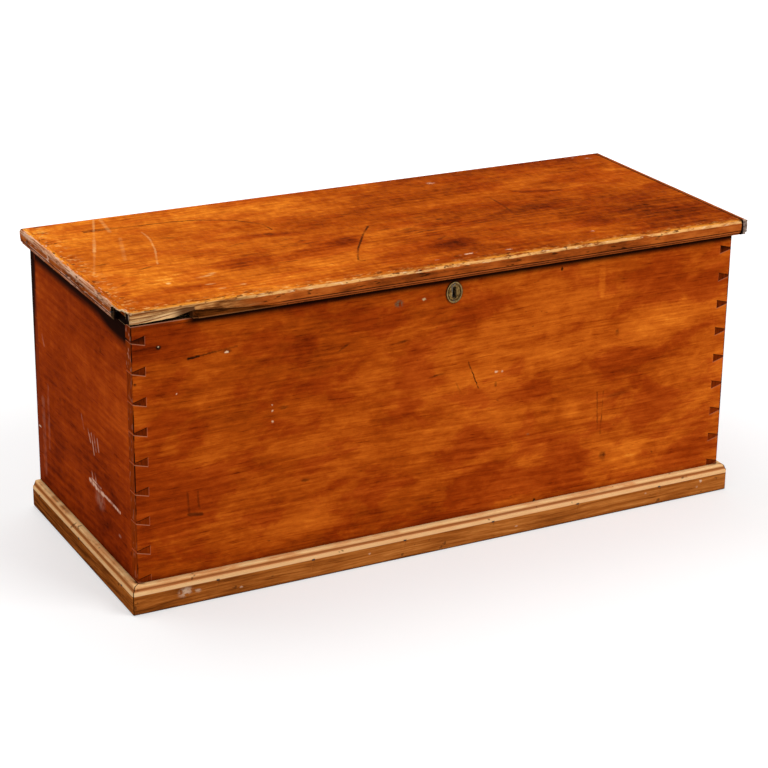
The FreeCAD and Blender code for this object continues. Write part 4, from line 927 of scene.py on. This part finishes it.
def torn_corner(co):
    """The face left where the board split off, ribbed by its fibres; its lower edge climbs to the right."""
    x, y, z = co
    share = (x - LID_LOW.x)/(SPLIT_END - LID_LOW.x)
    plain = LID_HIGH.z - split_drop(x)
    ragged = plain - 0.6*MM*(1 - share)*(1 + ripple(x/0.009, 2.0))
    drop = LID_HIGH.z - z
    if z > plain - 0.2*MM:
        co.z = LID_HIGH.z - drop*(LID_HIGH.z - ragged)/(LID_HIGH.z - plain)
    depth = min(1.0, drop/(5*MM))
    ribs = abs(ripple(x/0.035, drop/(0.0022*(1.2 - 0.7*share)), 7.0)) + 0.4*abs(ripple(x/0.012, drop/0.0011, 1.0))
    if y < LID_LOW.y + 12*MM:
        co.y += depth*1.5*MM*ribs + 0.3*MM*(1 + ripple(x/0.02, 5.0))
        co.y += rounded_corner(x - LID_LOW.x, 2.5*MM)
        co.x -= 3.2*MM*max(0.0, 1 - (x - LID_LOW.x)/(6*MM))


def worn_stretch(co):
    """Beside the split, without beads: a splintered ridge over a smooth hollow that runs out to the right."""
    x, y, z = co
    share = (x - SPLIT_END)/(WORN_END - SPLIT_END)
    level = LID_LOW.z + hollow_rise(x)
    crack = level + 0.9*MM*ripple(x/0.012, 1.0)*(1 - share)
    if z < level + 0.01*MM:
        co.z = LID_LOW.z + (z - LID_LOW.z)*(crack - LID_LOW.z)/(level - LID_LOW.z)
    else:
        co.z = LID_HIGH.z - (LID_HIGH.z - z)*(LID_HIGH.z - crack)/(LID_HIGH.z - level)
        co.y += eased(z, LID_HIGH.z - 2*MM, LID_HIGH.z - 6*MM)*(1 - share)*MM*(1.0 + ripple(x/0.01, z/0.003, 4.0))
    if share < 0.1:
        co.x += 0.6*(LID_LOW.z + 14*MM - co.z)*(1 - share/0.1)*(z < level + 0.01*MM)


def ahead_of(line):
    """Picks the faces that lie in front of a line."""
    return lambda face: face.calc_center_median().y < line


def worn_lid():
    """The lid with a rubbed and chipped front edge and its torn corner."""
    mesh = opened("lid_board")
    slice_up(mesh, 1, NOSE_BACK, NOSE_BACK, MM)
    slice_up(mesh, 2, LID_LOW.z + 1.5*MM, LID_HIGH.z - MM, 1.6*MM, ahead_of(NOSE_BACK))
    slice_up(mesh, 1, LID_LOW.y + 2*MM, NOSE_BACK - MM, 2.4*MM, ahead_of(NOSE_BACK))
    slice_up(mesh, 0, LID_LOW.x + MM, WORN_END, 2*MM, ahead_of(NOSE_BACK + 12*MM))
    slice_up(mesh, 0, WORN_END, LID_HIGH.x - MM, 3*MM, ahead_of(NOSE_BACK + 12*MM))
    for vert in mesh.verts:
        x, y, z = vert.co
        if y > NOSE_BACK - MM:
            continue
        front = 1 - min(1.0, (y - LID_LOW.y)/(9*MM))
        high = eased(z, LID_HIGH.z - 9*MM, LID_HIGH.z - 2*MM)
        if x < SPLIT_END - 0.1*MM:
            torn_corner(vert.co)
        elif x < WORN_END and y < LID_LOW.y + 8*MM:
            worn_stretch(vert.co)
        rub = 0.4*MM + 0.4*MM*ripple(x/0.04, z/0.02) + 0.3*MM*abs(ripple(x/0.007, z/0.004, 2.0))
        rub *= 0.25 + 0.75*eased(z, LID_LOW.z + 8*MM, LID_LOW.z + 11*MM)
        vert.co.y += front*(rub + high*(0.6*MM + 2.0*MM*chips(x, z, 0.009, 0.2) + 0.6*MM*abs(ripple(x/0.02))))
        if z > LID_HIGH.z - 0.1*MM:
            vert.co.z -= 0.3*MM*eased(y, LID_LOW.y + 12*MM, LID_LOW.y) + front*0.6*MM*chips(x, y, 0.012, 0.15)
    return closed("lid_board", mesh)


def worn_moulding(name, side):
    """An end moulding with its nose rubbed, and torn short where it is broken."""
    mesh = opened(name)
    low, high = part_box(name)
    outer = low.x if side < 0 else high.x
    slice_up(mesh, 2, low.z + 1.5*MM, high.z - 1.5*MM, 2.5*MM)
    slice_up(mesh, 1, low.y + 1.5*MM, high.y - 1.5*MM, 3*MM)
    if side < 0:
        slice_up(mesh, 1, low.y + MM, TORN_BACK, 1.5*MM, ahead_of(TORN_BACK + MM))
        slice_up(mesh, 0, low.x + 1.2*MM, high.x - MM, 1.2*MM, ahead_of(TORN_BACK + MM))
    for vert in mesh.verts:
        x, y, z = vert.co
        depth = abs(x - outer)
        front = 1 - min(1.0, depth/(8*MM))
        top = min(1.0, max(0.0, (z - high.z + 9*MM)/(7*MM)))
        bite = 0.4*MM + 0.3*MM*ripple(y/0.03, z/0.02) + top*(0.5*MM + 2.0*MM*chips(y, z, 0.008, 0.2))
        bite *= 1.0 if side < 0 else 0.35
        vert.co.x -= side*front*bite
        if z > high.z - 0.1*MM:
            vert.co.z -= front*(0.3*MM + 0.6*MM*chips(y, x, 0.01, 0.2))
        if side < 0 and y < TORN_BACK:
            flake = eased(z, high.z - 5*MM, high.z - 4*MM)
            near = eased(y, TORN_BACK, BREAK_BACK)
            vert.co.y += (1 - flake)*near*5*MM*abs(ripple(x/0.0035, 4.0, z/0.003))
            vert.co.y += flake*eased(y, BREAK_BACK, BREAK_BACK - 12*MM)*2*MM*ripple(x/0.0016, 9.0)
            ahead = eased(y, BREAK_BACK, BREAK_BACK - 8*MM)
            if flake and z < high.z - 3*MM:
                vert.co.z += ahead*eased(depth, 12.5*MM, 8.5*MM)*(2.4*MM + 0.6*MM*ripple(x/0.003, y/0.004))
        if side > 0 and y < low.y + 8*MM:
            tip = 1 - (y - low.y)/(8*MM)
            edge = min(depth, z - low.z, high.z - z)
            vert.co.y += tip*(rounded_corner(edge, 3*MM) + 0.8*MM*abs(ripple(x/0.004, z/0.006)))
    return closed(name, mesh)


def filled_quirk(spot, main):
    """A vertex of the plinth's moulding, moved out so that wax and dirt fill the hollow under its bead."""
    outward = Vector((0, -1, 0)) if main == 0 else Vector((1 if spot.x > 0 else -1, 0, 0))
    beyond = [abs(spot.x) - abs(CASE_LOW.x), CASE_LOW.y - spot.y]
    out = beyond[1 - main]
    rise = (spot.z - QUIRK_LOW.z)/(QUIRK_HIGH.z - QUIRK_LOW.z)
    if not 0 < rise < 1 or out < 6*MM:
        return spot
    filled = QUIRK_LOW.x + rise*(QUIRK_HIGH.x - QUIRK_LOW.x) - 0.5*MM*math.sin(math.pi*rise)
    further = max(0.0, filled - out)
    if abs(beyond[0] - beyond[1]) < 0.1*MM:
        return spot + further*Vector((1 if spot.x > 0 else -1, -1, 0))
    return spot + further*outward


def worn_plinth(name):
    """A plinth length with its outer corners rounded and its edges rubbed."""
    mesh = opened(name)
    low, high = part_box(name)
    main = 0 if name == "plinth_front" else 1
    side = 1 if name == "plinth_left" else -1
    inward = Vector((side, 0, 0)) if main else Vector((0, 1, 0))
    mitre = PLINTH_RADIUS*(1 - math.sqrt(0.5))
    for end, turn in ((low[main], 1), (high[main], -1))[:2 - main]:
        near = end if turn > 0 else end - 7*MM
        slice_up(mesh, main, near + 0.5*MM, near + 6.5*MM, 0.75*MM)
        slice_up(mesh, main, end + turn*11*MM - 3*MM, end + turn*11*MM + 3*MM, 1.5*MM)
    slice_up(mesh, main, low[main] + 12*MM, high[main] - 12*MM, 8*MM)
    for vert in mesh.verts:
        vert.co = spot = filled_quirk(vert.co.copy(), main)
        reach = spot.y - low.y if main else min(spot.x - low.x, high.x - spot.x)
        fallen = rounded_corner(max(reach, mitre), PLINTH_RADIUS)
        short = max(0.0, mitre - reach)
        if main:
            outer = low.x if side > 0 else high.x
            depth = side*(spot.x - outer)
            if reach < PLINTH_RADIUS:
                vert.co.x = outer + side*max(depth, fallen)
                vert.co.y += short*(depth < mitre)
        elif spot.y < PLINTH_LOW.y + PLINTH_RADIUS + 9*MM and reach < PLINTH_RADIUS:
            vert.co.x += (1 if spot.x < 0 else -1)*short*(spot.y - PLINTH_LOW.y < mitre)
            vert.co.y = max(spot.y, PLINTH_LOW.y + fallen)
        if spot.z < MM:
            vert.co.z += 5*MM*max(0.0, 1 - reach/(16*MM))**2
        rub = 0.2*MM + 0.2*MM*ripple(spot.x/0.05, spot.y/0.05, spot.z/0.02)
        if 2*MM < spot.z < high.z - MM:
            flush = abs(spot.x) > abs(CASE_LOW.x) + 2*MM if main else spot.y < CASE_LOW.y - 2*MM
            vert.co += inward*rub*flush
    return closed(name, mesh)


# ---- stage

def studio_floor():
    """A pale floor that keeps the chest's shadow and is white to the eye further out."""
    bpy.ops.mesh.primitive_plane_add(size=60, location=(0, 0, 0))
    floor = bpy.context.object
    floor.name = "studio_floor"
    s = Shader("studio_floor_paint")
    s.colour = s.mix(s.noise(3.0), (0.9, 0.9, 0.9), (0.92, 0.92, 0.92))
    s.finish(0.9, specular=0.0)
    glow = s.new("Emission", Color=(1.0, 1.0, 1.0), Strength=s.step(s.length(s.place), 0.7, 3.0, 0.45, 1.0))
    paint = s.new("BsdfDiffuse", Color=(0.6, 0.6, 0.6))
    seen = s.join("AddShader", glow.outputs[0], paint.outputs[0])
    both = s.join("MixShader", s.new("LightPath").outputs["Is Camera Ray"], s.surface.outputs[0], seen.outputs[0])
    s.put(s.out.inputs[0], both.outputs[0])
    floor.data.materials.append(s.material)


def lamp(name, place, aim, size, power):
    """A rectangular lamp that looks at a point."""
    data = bpy.data.lights.new(name, "AREA")
    data.shape = "RECTANGLE"
    data.size, data.size_y = size
    data.energy = power
    light = bpy.data.objects.new(name, data)
    bpy.context.scene.collection.objects.link(light)
    light.location = place
    light.rotation_euler = (Vector(aim) - Vector(place)).to_track_quat("-Z", "Y").to_euler()


def surroundings():
    """A white world to the eye, in gloss and through glass, and a softer one as light."""
    world = bpy.context.scene.world or bpy.data.worlds.new("world")
    bpy.context.scene.world = world
    s = Tree(world)
    path = s.new("LightPath").outputs
    looked_at = s.most(path["Is Camera Ray"], path["Is Glossy Ray"], path["Is Transmission Ray"])
    lit, seen = (s.new("Background", Color=(1.0, 1.0, 1.0), Strength=strength).outputs[0]
                 for strength in (WORLD_LIGHT, 1.0))
    s.put(s.new("OutputWorld").inputs[0], s.join("MixShader", looked_at, lit, seen).outputs[0])


def camera():
    """The photograph's view: a long lens low over the front left corner."""
    data = bpy.data.cameras.new("photo_camera")
    data.sensor_width, data.lens = SENSOR, LENS
    data.shift_x, data.shift_y = SHIFT
    data.clip_start, data.clip_end = 0.1, 60
    cam = bpy.data.objects.new("photo_camera", data)
    bpy.context.scene.collection.objects.link(cam)
    level = math.cos(ELEVATION)
    back = Vector((math.sin(AZIMUTH)*level, -math.cos(AZIMUTH)*level, math.sin(ELEVATION)))
    cam.location = TARGET + back*DISTANCE
    turn = (-back).to_track_quat("-Z", "Y").to_matrix() @ Matrix.Rotation(ROLL, 3, "Z")
    cam.rotation_euler = turn.to_euler()
    bpy.context.scene.camera = cam


# ---- the scene

bpy.context.scene.view_settings.view_transform = "Standard"
studio_floor()
surroundings()
lamp("key", (1.6, -2.6, 3.2), (0, 0, 0.25), (2.4, 1.8), 85)
lamp("top", (-0.6, 1.2, 3.2), (0, 0, 0.3), (3.0, 2.0), 55)
camera()

slots = {entry["node"]: entry["material_slot"] for entry in frame["record"]["subparts"]}
MATERIALS = {
    "lid_wood": lid_wood(),
    "case_wood": case_wood(),
    "end_wood": end_wood(),
    "moulding_wood": moulding_wood(),
    "plinth_wood": plinth_wood("plinth_front_stain", "x", 0.05),
    "bare_wood": bare_wood(),
    "brass": old_brass(),
    "iron": aged_metal("dark_iron", (0.02, 0.017, 0.015), (0.06, 0.05, 0.045), (0.13, 0.11, 0.1),
                       (0.05, 0.02, 0.01), 0.6),
    "steel": aged_metal("old_steel", (0.1, 0.09, 0.08), (0.25, 0.23, 0.2), (0.45, 0.42, 0.38),
                        (0.06, 0.03, 0.015), 0.5),
}
# the side plinths use a darker copy of the plinth's stain, as painted shade
PLINTH_SIDE_SHADED = plinth_wood("plinth_side_shaded_stain", "y", -0.1)

for name, node in nodes.items():
    node.data.materials.clear()
    node.data.materials.append(PLINTH_SIDE_SHADED if name in ("plinth_left", "plinth_right") else MATERIALS[slots[name]])

worn_lid().data.materials.append(MATERIALS["lid_wood"])
for side, name in ((-1, "lid_moulding_left"), (1, "lid_moulding_right")):
    worn_moulding(name, side).data.materials.append(MATERIALS["moulding_wood"])
for name in ("plinth_front", "plinth_left", "plinth_right"):
    worn_plinth(name).data.materials.append(nodes[name].data.materials[0])
